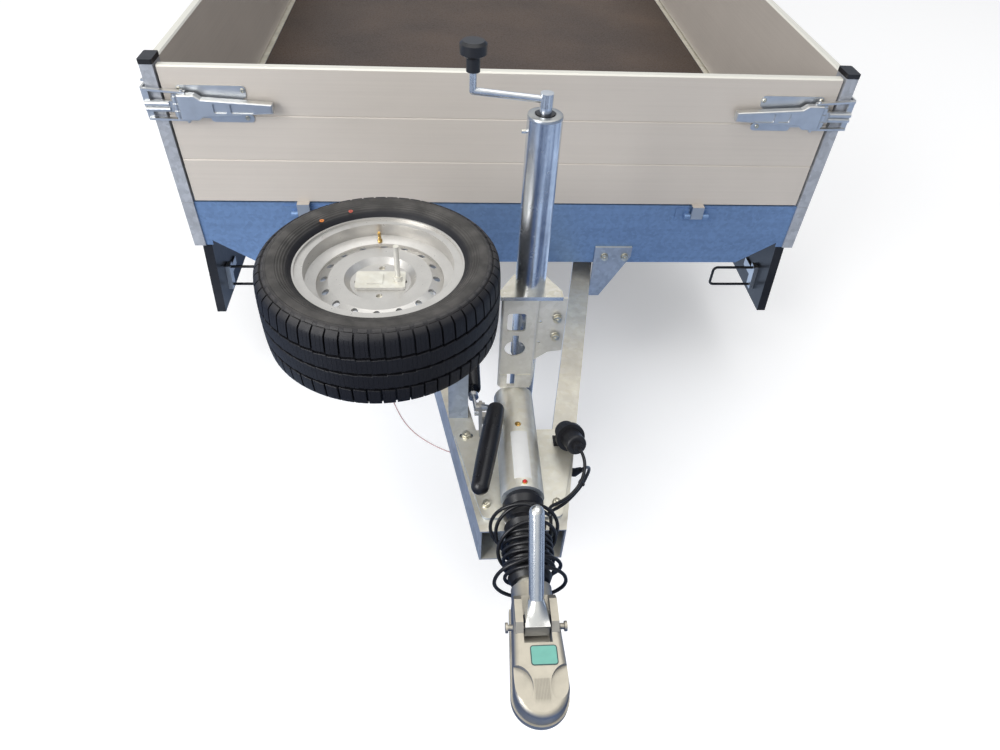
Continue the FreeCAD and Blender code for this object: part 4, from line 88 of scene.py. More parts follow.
# The lead's turns round the bellows: turn, radius, distance in front of the board
WINDING_AXIS_Z = 0.395
WINDING_START_ANGLE = math.radians(9)
WINDING_POINTS = 16
WINDING_STATIONS = (
    (0.0, 0.0587, 0.9497), (0.06, 0.0573, 0.974), (0.14, 0.0548, 0.983), (0.25, 0.0532, 0.988),
    (1.0, 0.0525, 0.999), (2.0, 0.0525, 1.014), (3.0, 0.0525, 1.03), (4.0, 0.0525, 1.047),
    (5.0, 0.0525, 1.066), (5.6, 0.0525, 1.083), (5.85, 0.062, 1.091), (6.05, 0.077, 1.09),
    (6.3, 0.067, 1.089), (6.5, 0.076, 1.088), (6.7, 0.0635, 1.082), (7.0, 0.067, 1.062),
    (7.3, 0.063, 1.035), (7.7, 0.0635, 1.006), (8.0, 0.064, 0.988), (8.5, 0.0655, 0.973),
    (8.875, 0.069, 0.964), (9.25, 0.076, 0.957), (9.5, 0.077, 0.955), (9.75, 0.0765, 0.955),
    (9.875, 0.0665, 0.96),
)
WINDING_TILT = 0.005
WINDING_LEAN = 0.016
WINDING_RETURN = 6.0
LEANING_TURN = 7.2

# The tie that holds both strands of the lead together
TIE_PLACE = (0.138, -0.853, 0.4105)
TIE_DIRECTION = (-0.66, -0.74, 0.05)
TIE_RADII = (0.0062, 0.0142, 1.0)
TIE_WIDTH = 0.0036
TIE_WALL = 0.0011
TIE_LOCK = ((0.005, -0.003, -0.001), (0.01, 0.003, 0.0046))
TIE_EDGE = 0.0008


def spot(x, y, z):
    """A point in the part's frame, from its distance behind the board's face."""
    return Vector((x, y + BOARD_FACE_Y, z))


# Sizes and colours that a user would change


def metres(name, description, default, low, high):
    """A length with its limits."""
    return FloatProperty(name=name, description=description, default=default, min=low, max=high,
                         unit="LENGTH")


def tint(name, description, *default):
    """An opaque colour."""
    return FloatVectorProperty(name=name, description=description, default=(*default, 1),
                               subtype="COLOR", size=4, min=0, max=1)


def degrees(name, description, default):
    """An angle, given in degrees."""
    return FloatProperty(name=name, description=description, default=math.radians(default),
                         subtype="ANGLE")


class TrailerSizes(bpy.types.PropertyGroup):
    """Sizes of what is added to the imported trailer."""

    lead_diameter: metres(
        "Lead diameter", "Outer diameter of the seven-core lead", 0.008, 0.004, 0.012)
    cable_diameter: metres(
        "Safety cable diameter", "Outer diameter of the breakaway cable's sheath",
        0.0036, 0.002, 0.006)
    tread_depth: metres(
        "Tread depth", "Height of the tread blocks over the grooves", 0.007, 0.003, 0.012)
    tread_pitches: IntProperty(
        name="Tread pitches", description="Blocks round the tyre in each row",
        default=56, min=24, max=90)
    bolt_across: metres(
        "Bolt head", "Width across the flats of the drawbar's bolt heads", 0.019, 0.01, 0.03)
    screw_radius: metres(
        "Screw head radius", "Radius of the small round screw heads", 0.006, 0.003, 0.01)


class TrailerColours(bpy.types.PropertyGroup):
    """Base colours of the finishes."""

    # The two galvanised colours are lit and shaded copies of one zinc: painted creamy light for
    # faces that look up, and a painted bluish reflection and shade for upright faces.
    galvanised: tint("Galvanised steel", "Hot-dip zinc on faces that look up", 0.8, 0.76, 0.65)
    galvanised_side_reflection: tint("Galvanised sides", "Hot-dip zinc on upright faces", 0.38, 0.44, 0.54)
    # The sheet's blue is a painted reflection, not the zinc's own colour.
    sheet: tint("Zinc sheet", "Folded front and rear panels", 0.19, 0.3, 0.5)
    bright_zinc: tint("Bright zinc", "Plated latches, crank and fixings", 0.68, 0.7, 0.72)
    board: tint("Boards", "Anodised planks of the drop boards", 0.6, 0.55, 0.495)
    black: tint("Black plastic", "Caps, mudguards, plug and knob", 0.012, 0.012, 0.014)
    rubber: tint("Rubber", "Bellows, grip and lead", 0.01, 0.01, 0.012)
    tread: tint("Tread", "Rubber of the tread", 0.009, 0.009, 0.012)
    flank: tint("Tyre flanks", "Dusty rubber of the side walls", 0.06, 0.056, 0.052)
    rim: tint("Rims", "Silver lacquer of the wheel rims", 0.6, 0.58, 0.545)
    label: tint("Blank label", "Plain label on the coupling", 0.18, 0.51, 0.42)


class TrailerStage(bpy.types.PropertyGroup):
    """Camera, lights and floor."""

    lens: FloatProperty(
        name="Lens", description="Focal length on a 36 mm wide sensor", default=25.1, min=10,
        max=100)
    pitch: degrees("Pitch", "How far the camera looks down", 44.38)
    yaw: degrees("Yaw", "How far the camera looks to the right", 5.5)
    roll: degrees("Roll", "Turn of the camera about its own view", 3.35)
    floor: tint("Floor", "Colour of the floor and the background", 0.86, 0.86, 0.86)
    ambient: FloatProperty(
        name="Ambient", description="Strength of the soft light from all sides",
        default=0.52, min=0, max=1)
    overhead: FloatProperty(
        name="Overhead light", description="Power of the large light above the trailer",
        subtype="POWER", default=300, min=0)
    front: FloatProperty(
        name="Front light", description="Power of the soft light before the trailer",
        subtype="POWER", default=270, min=0)


# Finishes

HAIR = 0.0004


class Web:
    """Short calls that add shader nodes to a tree."""

    def __init__(self, tree, coordinates):
        self.tree = tree
        self.position = self.node("TexCoord", {}, coordinates)

    def feed(self, socket, value):
        """Links an output to a socket, or sets the socket's own value."""
        if isinstance(value, bpy.types.NodeSocket):
            self.tree.links.new(value, socket)
        else:
            socket.default_value = value

    def node(self, kind, inputs, output=0, **settings):
        """Adds a node with its settings and inputs, and returns one of its outputs."""
        added = self.tree.nodes.new("ShaderNode" + kind)
        for name, value in settings.items():
            setattr(added, name, value)
        for name, value in inputs.items():
            self.feed(added.inputs[name], value)
        return added.outputs[output]

    def ray(self, kind):
        """One where the ray is of a kind, such as Is Camera Ray."""
        return self.node("LightPath", {}, kind)

    def stretched(self, scale):
        """The position with each axis scaled, so that a pattern runs along the smallest one."""
        return self.node("Mapping", {"Vector": self.position, "Scale": scale})

    def noise(self, scale, detail, vector=None):
        vector = vector or self.position
        return self.node("TexNoise", {"Vector": vector, "Scale": scale, "Detail": detail})

    def cells(self, scale):
        """A grey of its own for each crystal."""
        colours = self.node("TexVoronoi", {"Vector": self.position, "Scale": scale}, "Color")
        return self.part(colours, "X")

    def pits(self, scale):
        """The distance from the nearest of many scattered points."""
        return self.node("TexVoronoi", {"Vector": self.position, "Scale": scale}, "Distance")

    def part(self, vector, name):
        """One coordinate of a vector."""
        return self.node("SeparateXYZ", {0: vector}, name)

    def axis(self, name):
        """One coordinate of the position."""
        return self.part(self.position, name)

    def upward(self):
        """The share of the surface that looks up, from the normal of the mesh."""
        return self.part(self.node("NewGeometry", {}, "Normal"), "Z")

    def maths(self, operation, first, second=0.0):
        return self.node("Math", {0: first, 1: second}, operation=operation)

    def times(self, first, *others):
        """The product of all values."""
        for other in others:
            first = self.maths("MULTIPLY", first, other)
        return first

    def wave(self, value, pace):
        """A sine wave along a value."""
        return self.maths("SINE", self.times(value, pace))

    def spread(self, value, low, high, start=0.0, end=1.0):
        """Maps value from start..end to low..high."""
        return self.node("MapRange", {
            "Value": value, "From Min": start, "From Max": end, "To Min": low, "To Max": high})

    def rise(self, value, start, end):
        """Nought up to the start and one from the end on."""
        return self.spread(value, 0.0, 1.0, start, end)

    def fall(self, value, start, end):
        """One up to the start and nought from the end on."""
        return self.spread(value, 1.0, 0.0, start, end)

    def clouds(self, scale, detail, low, high, start=0.0, end=1.0):
        """Noise whose start..end is mapped to low..high."""
        return self.spread(self.noise(scale, detail), low, high, start, end)

    def stain(self, base, tone, scale, detail, most, start, end):
        """Tints a colour by at most a share where noise goes from start to end."""
        return self.blend(self.clouds(scale, detail, 0.0, most, start, end), base, tone)

    def blend(self, factor, first, second, how="MIX"):
        """Mixes two colours."""
        inputs = {0: factor, 6: first, 7: second}
        return self.node("Mix", inputs, 2, data_type="RGBA", blend_type=how)


class Finish(Web):
    """A procedural material on Object coordinates."""

    def __init__(self, name, metallic=0.0, specular=0.5):
        self.material = bpy.data.materials.new(name)
        self.material.use_nodes = True
        super().__init__(self.material.node_tree, "Object")
        self.set("Metallic", metallic)
        self.set("Specular IOR Level", specular)

    def set(self, name, value):
        self.feed(self.tree.nodes["Principled BSDF"].inputs[name], value)

    def coat(self, colour, roughness, height=None, depth=0.0, strength=1.0):
        """Sets the colour, the roughness and a relief, and returns the material."""
        self.set("Base Color", colour)
        self.set("Roughness", roughness)
        if height is not None:
            relief = {"Strength": strength, "Distance": depth, "Height": height}
            self.set("Normal", self.node("Bump", relief))
        return self.material


def shade(colour, factor):
    """A darker or lighter form of a colour."""
    return tuple(min(1.0, part * factor) for part in colour[:3]) + (1,)


def galvanised_finish(name, top, side, metallic=0.5, roughness=0.36):
    """Hot-dip zinc: crystals of a centimetre, dull; painted light makes the top faces creamy and a
    painted reflection makes upright faces colder.
    """
    web = Finish(name, metallic)
    # Painted light: faces that look up take the lit top colour, and upright faces take the side
    # colour with its painted reflection and shade.
    lit_tops = web.rise(web.upward(), 0.15, 0.75)
    worn = web.blend(0.14, web.blend(lit_tops, side, top), web.cells(85), "OVERLAY")
    stains = (0.72, 0.74, 11, 6, 0.65, 0.42, 0.72), (1.25, 1.3, 30, 2, 0.35, 0.52, 0.7)
    for low, high, *patches in stains:
        worn = web.stain(worn, web.blend(lit_tops, shade(side, low), shade(top, high)), *patches)
    rough = web.clouds(60, 4, roughness * 0.75, roughness * 1.25)
    return web.coat(worn, rough, web.noise(120, 2), 0.0003, roughness * 0.3)


def zinc_finish(name, colour, roughness=0.24):
    """Bright plated steel with faint stains and painted warmer light on top."""
    web = Finish(name, 0.92)
    lit_tops = web.spread(web.upward(), 0.0, 0.6, 0.2, 0.7)
    # Painted light: the top faces are tinted warmer, as if lit.
    warm_lit = web.blend(1.0, colour, (1.0, 0.93, 0.8, 1), "MULTIPLY")
    base = web.stain(web.blend(lit_tops, colour, warm_lit), shade(colour, 0.7), 30, 2, 0.4, 0.4, 0.8)
    return web.coat(base, web.clouds(60, 2, roughness * 0.9, roughness * 1.3))


def cast_finish(top, side, nose_y):
    """Sand-cast body, plated: painted lit cream on top and a painted bluish reflection on its
    flanks; ribbed behind its nose, with painted shade in the ribs' grooves.
    """
    web = Finish("cast_zinc", 0.62)
    grain = web.noise(340, 5)
    # Painted light: cream on faces that look up, and a painted bluish reflection on the flanks.
    base = web.blend(web.rise(web.upward(), 0.35, 0.85), side, top)
    base = web.stain(base, shade(top, 0.62), 26, 4, 0.45, 0.42, 0.75)
    along = web.maths("SUBTRACT", web.axis("Y"), nose_y)
    patch = web.times(web.fall(web.maths("ABSOLUTE", web.axis("X")), 0.013, 0.018),
                      web.rise(along, 0.022, 0.034), web.fall(along, 0.066, 0.069))
    ribs = web.rise(web.wave(web.axis("X"), 2300.0), -1.0, 1.0)
    # The ribbed patch is darker overall, with painted shade deepest in the troughs of its ribs.
    grooves = web.times(patch, patch, web.spread(ribs, 0.65, 0.3))
    base = web.blend(grooves, base, shade(top, 0.45))
    relief = web.maths("ADD", grain, web.times(ribs, patch))
    return web.coat(base, web.spread(grain, 0.34, 0.52), relief, 0.0006, 0.35)


def sheet_finish(colour):
    """Pre-galvanised sheet with fine spangle and a faint rolling direction."""
    web = Finish("zinc_sheet", 0.55)
    rolling = web.noise(3, 4, web.stretched((1, 30, 30)))
    base = web.blend(0.1, colour, web.cells(120), "OVERLAY")
    base = web.blend(web.spread(rolling, 0.0, 0.3, 0.4, 0.7), base, shade(colour, 1.3))
    return web.coat(base, web.clouds(40, 4, 0.28, 0.42), web.noise(200, 3), 0.0003, 0.1)


def board_finish(name, colour, scale, highlight_edge, bottom_edge):
    """Anodised plank: fine drawing lines, faint clouds, a painted highlight along the top edge and
    plated hinge tongues.
    """
    web = Finish(name)
    lines = web.noise(1, 4, web.stretched(scale))
    base = web.blend(web.spread(lines, 0.0, 0.22, 0.38, 0.66), colour, shade(colour, 0.84))
    base = web.stain(base, shade(colour, 1.1), 4, 4, 0.4, 0.42, 0.72)
    height = web.axis("Z")
    # Painted highlight: a pale band just under the top edge.
    base = web.blend(web.rise(height, highlight_edge - 0.0015, highlight_edge), base, (0.78, 0.76, 0.68, 1))
    tongue = web.fall(height, bottom_edge - 0.0005, bottom_edge)
    web.set("Metallic", web.spread(tongue, 0.2, 0.85))
    base = web.blend(tongue, base, (0.52, 0.55, 0.58, 1))
    return web.coat(base, web.spread(lines, 0.4, 0.54), lines, 0.0002, 0.12)


def plastic_finish(name, colour, roughness=0.42, grain=900, strength=0.3):
    """Moulded plastic, rubber or paint with a fine grain and some dust."""
    web = Finish(name, specular=0.4)
    rough = web.clouds(60, 3, roughness * 0.85, roughness * 1.2)
    base = web.stain(colour, shade(colour, 2.2), 14, 5, 0.5, 0.45, 0.8)
    return web.coat(base, rough, web.noise(grain, 2), 0.0003, strength)


def tyre_finish(tread, flank, pitches):
    """Tyre rubber: black tread with sipes, dusty flanks with moulded rings and shoulder marks;
    painted shade in the sipes and a painted highlight on the shoulder squares.
    """
    web = Finish("tyre_rubber", specular=0.3)
    place = web.node("Attribute", {}, "Vector", attribute_name="wheel_place")
    across = web.maths("ABSOLUTE", web.part(place, "X"))
    height, depth = web.part(place, "Z"), web.part(place, "Y")
    radius = web.maths("SQRT", web.maths("ADD", web.times(height, height), web.times(depth, depth)))
    laps = web.times(web.maths("ARCTAN2", depth, height), pitches / (2 * math.pi))
    rings = web.wave(radius, 1150.0)
    band = web.times(web.rise(radius, 0.19, 0.194), web.fall(radius, 0.214, 0.216))
    step = web.rise(radius, 0.2315, 0.2325)
    squares = web.times(web.rise(web.maths("PINGPONG", laps, 0.5), 0.16, 0.19),
                        web.rise(radius, 0.236, 0.237), web.fall(radius, 0.243, 0.244))
    sipe = web.fall(web.maths("PINGPONG", web.times(laps, 3.0), 0.5), 0.02, 0.05)
    cut = web.times(sipe, web.fall(across, 0.082, 0.084), web.rise(radius, 0.2565, 0.2575))
    side = web.stain(shade(flank, 0.72), shade(flank, 1.5), 24, 6, 1.0, 0.4, 0.7)
    ring_share = web.times(web.spread(rings, 0.0, 0.5, 0.2, 0.9), band)
    side = web.blend(ring_share, side, shade(flank, 0.35))
    # Painted highlight on the raised shoulder squares.
    side = web.blend(web.times(squares, 0.55), side, shade(flank, 2.2))
    side = web.blend(web.spread(radius, 0.0, 0.6, 0.23, 0.24), side, shade(tread, 1.6))
    base = web.blend(web.rise(across, 0.086, 0.094), tread, side)
    # Painted shade in the sipes.
    base = web.blend(web.times(cut, 0.8), base, shade(tread, 0.3))
    relief = web.times(rings, band, 0.35)
    for mould in (squares, step, web.times(cut, -1.5), web.times(web.noise(500, 2), 0.25)):
        relief = web.maths("ADD", relief, mould)
    return web.coat(base, web.clouds(70, 4, 0.42, 0.62), relief, 0.0012, 0.8)


def rim_finish(colour):
    """Silver lacquer with fine flake and brake dust."""
    web = Finish("silver_lacquer", 0.6)
    base = web.blend(0.06, colour, web.cells(1500), "OVERLAY")
    base = web.stain(base, shade(colour, 0.74), 30, 4, 0.4, 0.45, 0.8)
    return web.coat(base, web.clouds(120, 3, 0.24, 0.36), web.noise(500, 2), 0.0002, 0.06)


def deck_finish():
    """Film-faced plywood with the print of its wire mesh."""
    web = Finish("film_faced_plywood")
    mesh = web.pits(160)
    brown = web.stain((0.045, 0.026, 0.016, 1), (0.075, 0.045, 0.028, 1), 3, 4, 1.0, 0.35, 0.7)
    return web.coat(brown, web.spread(mesh, 0.42, 0.62), mesh, 0.0006, 0.6)


def lens_finish(name, colour):
    """Moulded lamp lens with upright flutes and small prisms."""
    web = Finish(name)
    web.set("Coat Weight", 0.5)
    base = web.stain(colour, shade(colour, 0.75), 60, 3, 1.0, 0.3, 0.7)
    prisms = web.maths("ADD", *[web.wave(web.axis(name), 1400.0) for name in "XZ"])
    return web.coat(base, web.clouds(200, 2, 0.1, 0.2), prisms, 0.0006, 0.5)


def mottled_finish(name, first, second, pattern, roughness):
    """Two tones of a plain colour, mixed by noise of a scale and detail."""
    web = Finish(name)
    return web.coat(web.blend(web.noise(*pattern), first, second), roughness)


def half_plated_finish(name, axis, split, zinc, black, scuffs, grain, roughness):
    """Plated steel up to a plane across an axis and black plastic or paint beyond it."""
    web = Finish(name)
    beyond = web.rise(web.axis(axis), split, split + HAIR)
    metal = web.stain(zinc, shade(zinc, 0.7), *scuffs, 0.5, 0.4, 0.8)
    web.set("Metallic", web.spread(beyond, 0.9, 0.0))
    rough = web.spread(beyond, *roughness)
    return web.coat(web.blend(beyond, metal, black), rough, web.noise(*grain), 0.0002, 0.3)


def jockey_finish(rubber, rim, centre, radius):
    """Solid rubber tyre outside the radius, plated rim inside it."""
    web = Finish("jockey_wheel_finish")
    across, along = [
        web.maths("POWER", web.maths("SUBTRACT", web.axis(name), middle), 2.0)
        for name, middle in (("Y", centre.y), ("Z", centre.z))]
    distance = web.maths("SQRT", web.maths("ADD", across, along))
    tyre = web.rise(distance, radius, radius + 0.0005)
    web.set("Metallic", web.spread(tyre, 0.7, 0.0))
    rough = web.spread(tyre, 0.35, 0.62)
    return web.coat(web.blend(tyre, rim, rubber), rough, web.noise(300, 3), 0.0004, 0.3)


# Mesh helpers


def place_piece(name, data, material, body="chassis"):
    """Links a finished mesh or curve as a piece that rides on a body."""
    piece = bpy.data.objects.new(name, data)
    bpy.context.scene.collection.objects.link(piece)
    data.materials.append(material)
    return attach(piece, body)


def smooth_mesh(name, work, crease=CREASE):
    """Writes the work mesh with outward faces, smooth but for its creases."""
    bmesh.ops.recalc_face_normals(work, faces=work.faces)
    mesh = bpy.data.meshes.new(name)
    work.to_mesh(mesh)
    work.free()
    mesh.shade_smooth()
    mesh.set_sharp_from_angle(angle=crease)
    return mesh


def close_piece(name, work, material, body="chassis", crease=CREASE):
    """Makes the work mesh a piece, without its doubled points."""
    bmesh.ops.remove_doubles(work, verts=work.verts, dist=MERGE)
    return place_piece(name, smooth_mesh(name, work, crease), material, body)


def along_matrix(start, direction):
    """Takes the z axis to a direction and the origin to a point."""
    turn = Vector(direction).to_track_quat("Z", "Y").to_matrix().to_4x4()
    return Matrix.Translation(start) @ turn


def bevel(work, edges, width, segments=2):
    bmesh.ops.bevel(work, geom=list(edges), offset=width, segments=segments, affect="EDGES",
                    profile=BEVEL_PROFILE, material=-1)


def edges_of(verts):
    return {edge for vert in verts for edge in vert.link_edges}


def add_block(work, low, high, width=0.0, segments=2):
    """A box between two corners, with its edges bevelled."""
    low, high = Vector(low), Vector(high)
    verts = bmesh.ops.create_cube(work, size=1.0)["verts"]
    bmesh.ops.scale(work, vec=high - low, verts=verts)
    bmesh.ops.translate(work, vec=(low + high) / 2, verts=verts)
    if width:
        bevel(work, edges_of(verts), width, segments)


def add_turned(work, profile, start, direction, steps=32):
    """Spins a profile of (radius, height) points round a line through start."""
    before = set(work.verts)
    verts = [work.verts.new((radius, 0, height)) for radius, height in profile]
    edges = [work.edges.new(pair) for pair in zip(verts, verts[1:])]
    bmesh.ops.spin(work, geom=verts + edges, cent=(0, 0, 0), axis=(0, 0, 1), dvec=(0, 0, 0),
                   angle=2 * math.pi, steps=steps, use_merge=True, use_duplicate=False)
    spun = [vert for vert in work.verts if vert not in before]
    bmesh.ops.remove_doubles(work, verts=spun, dist=MERGE)
    spun = [vert for vert in work.verts if vert not in before]
    bmesh.ops.transform(work, matrix=along_matrix(start, direction), verts=spun)


def turned_piece(name, material, shapes, body="chassis", crease=CREASE):
    """A piece of turned shapes: each a profile, a start, a direction and its steps."""
    work = bmesh.new()
    for shape in shapes:
        add_turned(work, *shape)
    return close_piece(name, work, material, body, crease)


def dome(radius, height, foot=0.0, points=5):
    """A profile from the axis over a domed top down to its foot and back to the axis."""
    turns = [math.pi / 2 / (points - 1) * point for point in range(points)]
    top = [(radius * math.sin(turn), foot + height * math.cos(turn)) for turn in turns]
    return [*top, (radius, 0.0), (0.0, 0.0)]


def add_hex_bolt(work, place, direction, across):
    """A washer, a chamfered hexagon head and a domed screw end, in shares of the width."""
    washer, height, rise, chamfer = [across * share for share in (0.62, 0.45, 0.09, 0.06)]
    add_turned(work, [(0, rise), (washer - chamfer, rise), (washer, rise / 2), (washer, 0), (0, 0)],
               place, direction)
    foot = Vector(place) + Vector(direction).normalized() * rise
    place_head = along_matrix(foot, direction) @ Matrix.Translation((0, 0, height / 2))
    corner = across / math.sqrt(3)
    head = bmesh.ops.create_cone(work, cap_ends=True, segments=6, radius1=corner, radius2=corner,
                                 depth=height, matrix=place_head)["verts"]
    bevel(work, edges_of(head), chamfer)
    end = dome(across * 0.26, across * 0.08, height + across * 0.12)
    add_turned(work, end, foot, direction, 20)


# Lead and safety cable


def smooth_curve(name, points, diameter, material):
    """A tube along one NURBS spline with the points as its control points."""
    curve = bpy.data.curves.new(name, "CURVE")
    curve.dimensions = "3D"
    spline = curve.splines.new("NURBS")
    spline.points.add(len(points) - 1)
    for point, place in zip(spline.points, points):
        point.co = (*place, 1.0)
    spline.order_u = 3
    spline.use_endpoint_u = True
    spline.resolution_u = 6
    curve.bevel_depth = diameter / 2
    curve.bevel_resolution = 3
    curve.use_fill_caps = True
    return place_piece(name, curve, material)


def winding_station(turn):
    """Radius and distance ahead of the board at a turn, straight between the stations."""
    for station, following in zip(WINDING_STATIONS, WINDING_STATIONS[1:]):
        if turn <= following[0]:
            share = (turn - station[0]) / (following[0] - station[0])
            return [here + share * (there - here)
                    for here, there in zip(station[1:], following[1:])]
    return WINDING_STATIONS[-1][1:]


def winding_points():
    """The lead's turns, clockwise as seen from the front: out over the bellows, back on top."""
    last = WINDING_STATIONS[-1][0]
    bulge = 1 / math.cos(math.pi / WINDING_POINTS)
    for step in range(1, int(last * WINDING_POINTS) + 1):
        turn = step / WINDING_POINTS
        radius, ahead = winding_station(turn)
        angle = WINDING_START_ANGLE - turn * 2 * math.pi
        held = min(1.0, turn, (last - turn) * 2)
        tilt = WINDING_TILT * max(-1.0, min(1.0, WINDING_RETURN - turn))
        lean = WINDING_LEAN * min(1.0, max(0.0, turn - LEANING_TURN))
        ahead += held * (tilt - lean) * math.sin(angle)
        reach = radius * bulge
        yield reach * math.cos(angle), -ahead, WINDING_AXIS_Z + reach * math.sin(angle)


def add_cable_tie(work):
    """A flat band round both strands of the lead, with its lock."""
    band = bmesh.ops.create_circle(work, cap_ends=False, segments=28, radius=1.0)["verts"]
    bmesh.ops.scale(work, vec=TIE_RADII, verts=band)
    drawn = bmesh.ops.extrude_edge_only(work, edges=list(edges_of(band)))["geom"]
    drawn = [part for part in drawn if isinstance(part, bmesh.types.BMVert)]
    bmesh.ops.translate(work, vec=(0, 0, TIE_WIDTH), verts=drawn)
    bmesh.ops.recalc_face_normals(work, faces=work.faces)
    bmesh.ops.solidify(work, geom=work.faces[:], thickness=TIE_WALL)
    add_block(work, *TIE_LOCK, TIE_EDGE)
    place = along_matrix(spot(*TIE_PLACE), TIE_DIRECTION)
    bmesh.ops.transform(work, matrix=place, verts=work.verts)


class TRAILER_OT_lead(bpy.types.Operator):
    """Add the lead wound round the bellows, from its gland to the plug"""

    bl_idname = "trailer.add_lead"
    bl_label = "Lead"

    def execute(self, context):
        diameter = context.scene.trailer_sizes.lead_diameter
        sheath = plastic_finish("lead_sheath", context.scene.trailer_colours.rubber, 0.3, 300, 0.08)
        places = [*LEAD_TO_GLAND, *winding_points(), *reversed(LEAD_TO_PLUG)]
        route = [spot(*place) for place in places]
        lead = smooth_curve("lead", route, diameter, sheath)
        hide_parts("lead_to_plug", "lead_to_gland", "lead_winding")
        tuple(route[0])
        work = bmesh.new()
        add_cable_tie(work)
        close_piece("lead_tie", work, sheath)
        return {"FINISHED"}


class TRAILER_OT_safety_cable(bpy.types.Operator):
    """Add the thin breakaway cable from the spare wheel's arm to the handbrake"""

    bl_idname = "trailer.add_safety_cable"
    bl_label = "Safety cable"

    def execute(self, context):
        web = Finish("cable_sheath")
        twist = web.noise(260, 2)
        tone = web.blend(web.rise(twist, 0.3, 0.7), (0.52, 0.34, 0.34, 1), (0.66, 0.5, 0.5, 1))
        sheath = web.coat(tone, 0.35, twist, 0.0004, 0.4)
        route = [spot(*place) for place in SAFETY_CABLE]
        diameter = context.scene.trailer_sizes.cable_diameter
        cable = smooth_curve("breakaway_cable", route, diameter, sheath)
        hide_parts("safety_cable")
        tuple(route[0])
        return {"FINISHED"}


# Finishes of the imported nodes

BOARD_HEIGHT = 0.378
# Depth under the boards' top of the painted highlight.
BOARD_HIGHLIGHT_DEPTH = 0.003
KNOB_DEPTH = 0.054
STRUT_SPLIT_Y = -0.52
JOCKEY_RIM_RADIUS = 0.068


def paint(material, *names):
    """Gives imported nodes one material."""
    for name in names:
        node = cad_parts[name]
        if not node.material_slots:
            node.data.materials.append(material)
        for slot in node.material_slots:
            slot.material = material


class TRAILER_OT_finishes(bpy.types.Operator):
    """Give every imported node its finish"""

    bl_idname = "trailer.add_finishes"
    bl_label = "Finishes"

    def execute(self, context):
        colours = context.scene.trailer_colours
        galvanised, zinc, black = colours.galvanised, colours.bright_zinc, colours.black
        # Each galvanised finish gets a lit top colour and a side colour: painted light on top
        # faces, painted reflection and shade on upright faces.
        paint(galvanised_finish("galvanised_beams", galvanised, colours.galvanised_side_reflection),
              "drawbar_beams", "bed_frame", "beam_tabs", "spare_carrier", "axles")
        paint(galvanised_finish("galvanised_posts", galvanised, (0.42, 0.44, 0.48, 1), 0.3),
              "corner_posts")
        paint(galvanised_finish(
            "galvanised_bracket", (0.82, 0.79, 0.69, 1), (0.72, 0.71, 0.67, 1), 0.35),
            "jack_bracket", "spare_clamp")
        paint(galvanised_finish(
            "galvanised_housing", (0.86, 0.82, 0.7, 1), (0.46, 0.51, 0.58, 1), 0.6),
            "overrun_housing", "drawtube")
        paint(galvanised_finish(
            "galvanised_tube", (0.78, 0.74, 0.64, 1), (0.7, 0.74, 0.8, 1), 0.96, 0.25),
            "jack_outer_tube", "jack_inner_leg")
        # The panels' blue colour is a painted reflection.
        paint(sheet_finish(colours.sheet), "front_panel", "rear_panel")
        paint(zinc_finish("latch_zinc", zinc, 0.34), "front_latches", "tailgate_latches",
              "left_latches", "right_latches", "cradle_clamps")
        paint(zinc_finish("lever_zinc", shade(zinc, 1.1), 0.2), "coupling_lever")
        paint(zinc_finish("brake_lever_zinc", (0.5, 0.5, 0.5, 1), 0.32), "handbrake_lever")
        nose_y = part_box("coupling_head")[0].y
        # Painted lit cream for the casting's top, and a painted dark bluish reflection for its
        # flanks.
        paint(cast_finish((0.52, 0.475, 0.385, 1), (0.13, 0.16, 0.23, 1), nose_y), "coupling_head")
        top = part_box("front_board")[1].z
        edges = top - BOARD_HIGHLIGHT_DEPTH, top - BOARD_HEIGHT
        paint(board_finish("end_board", colours.board, (2, 160, 160), *edges),
              "front_board", "tailgate")
        paint(board_finish("side_board", colours.board, (160, 2, 160), *edges),
              "left_board", "right_board")
        paint(plastic_finish("black_plastic", black), "post_caps", "plug", "plug_holder")
        paint(plastic_finish("mudguard_plastic", shade(black, 1.4), 0.5, 500), "mudguards")
        paint(plastic_finish("black_paint", black, 0.3, 400), "side_plates", "chock_cradles")
        paint(plastic_finish("bellows_rubber", colours.rubber, 0.3, 400, 0.1), "bellows")
        paint(deck_finish(), "floor_deck")
        paint(rim_finish(colours.rim), "spare_rim", *[f"rim_{corner}" for corner in CORNERS])
        stem_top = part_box("jack_crank")[1].z - KNOB_DEPTH
        paint(half_plated_finish("crank_and_knob", "Z", stem_top, zinc, black,
                                 (50, 4), (500, 2), (0.22, 0.4)), "jack_crank")
        paint(half_plated_finish("gas_strut", "Y", spot(0, STRUT_SPLIT_Y, 0).y, zinc, black,
                                 (45, 4), (45, 4), (0.22, 0.34)), "handbrake_strut")
        low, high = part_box("jockey_wheel")
        paint(jockey_finish(colours.rubber, zinc, (low + high) / 2, JOCKEY_RIM_RADIUS),
              "jockey_wheel")
        return {"FINISHED"}


# Tyres

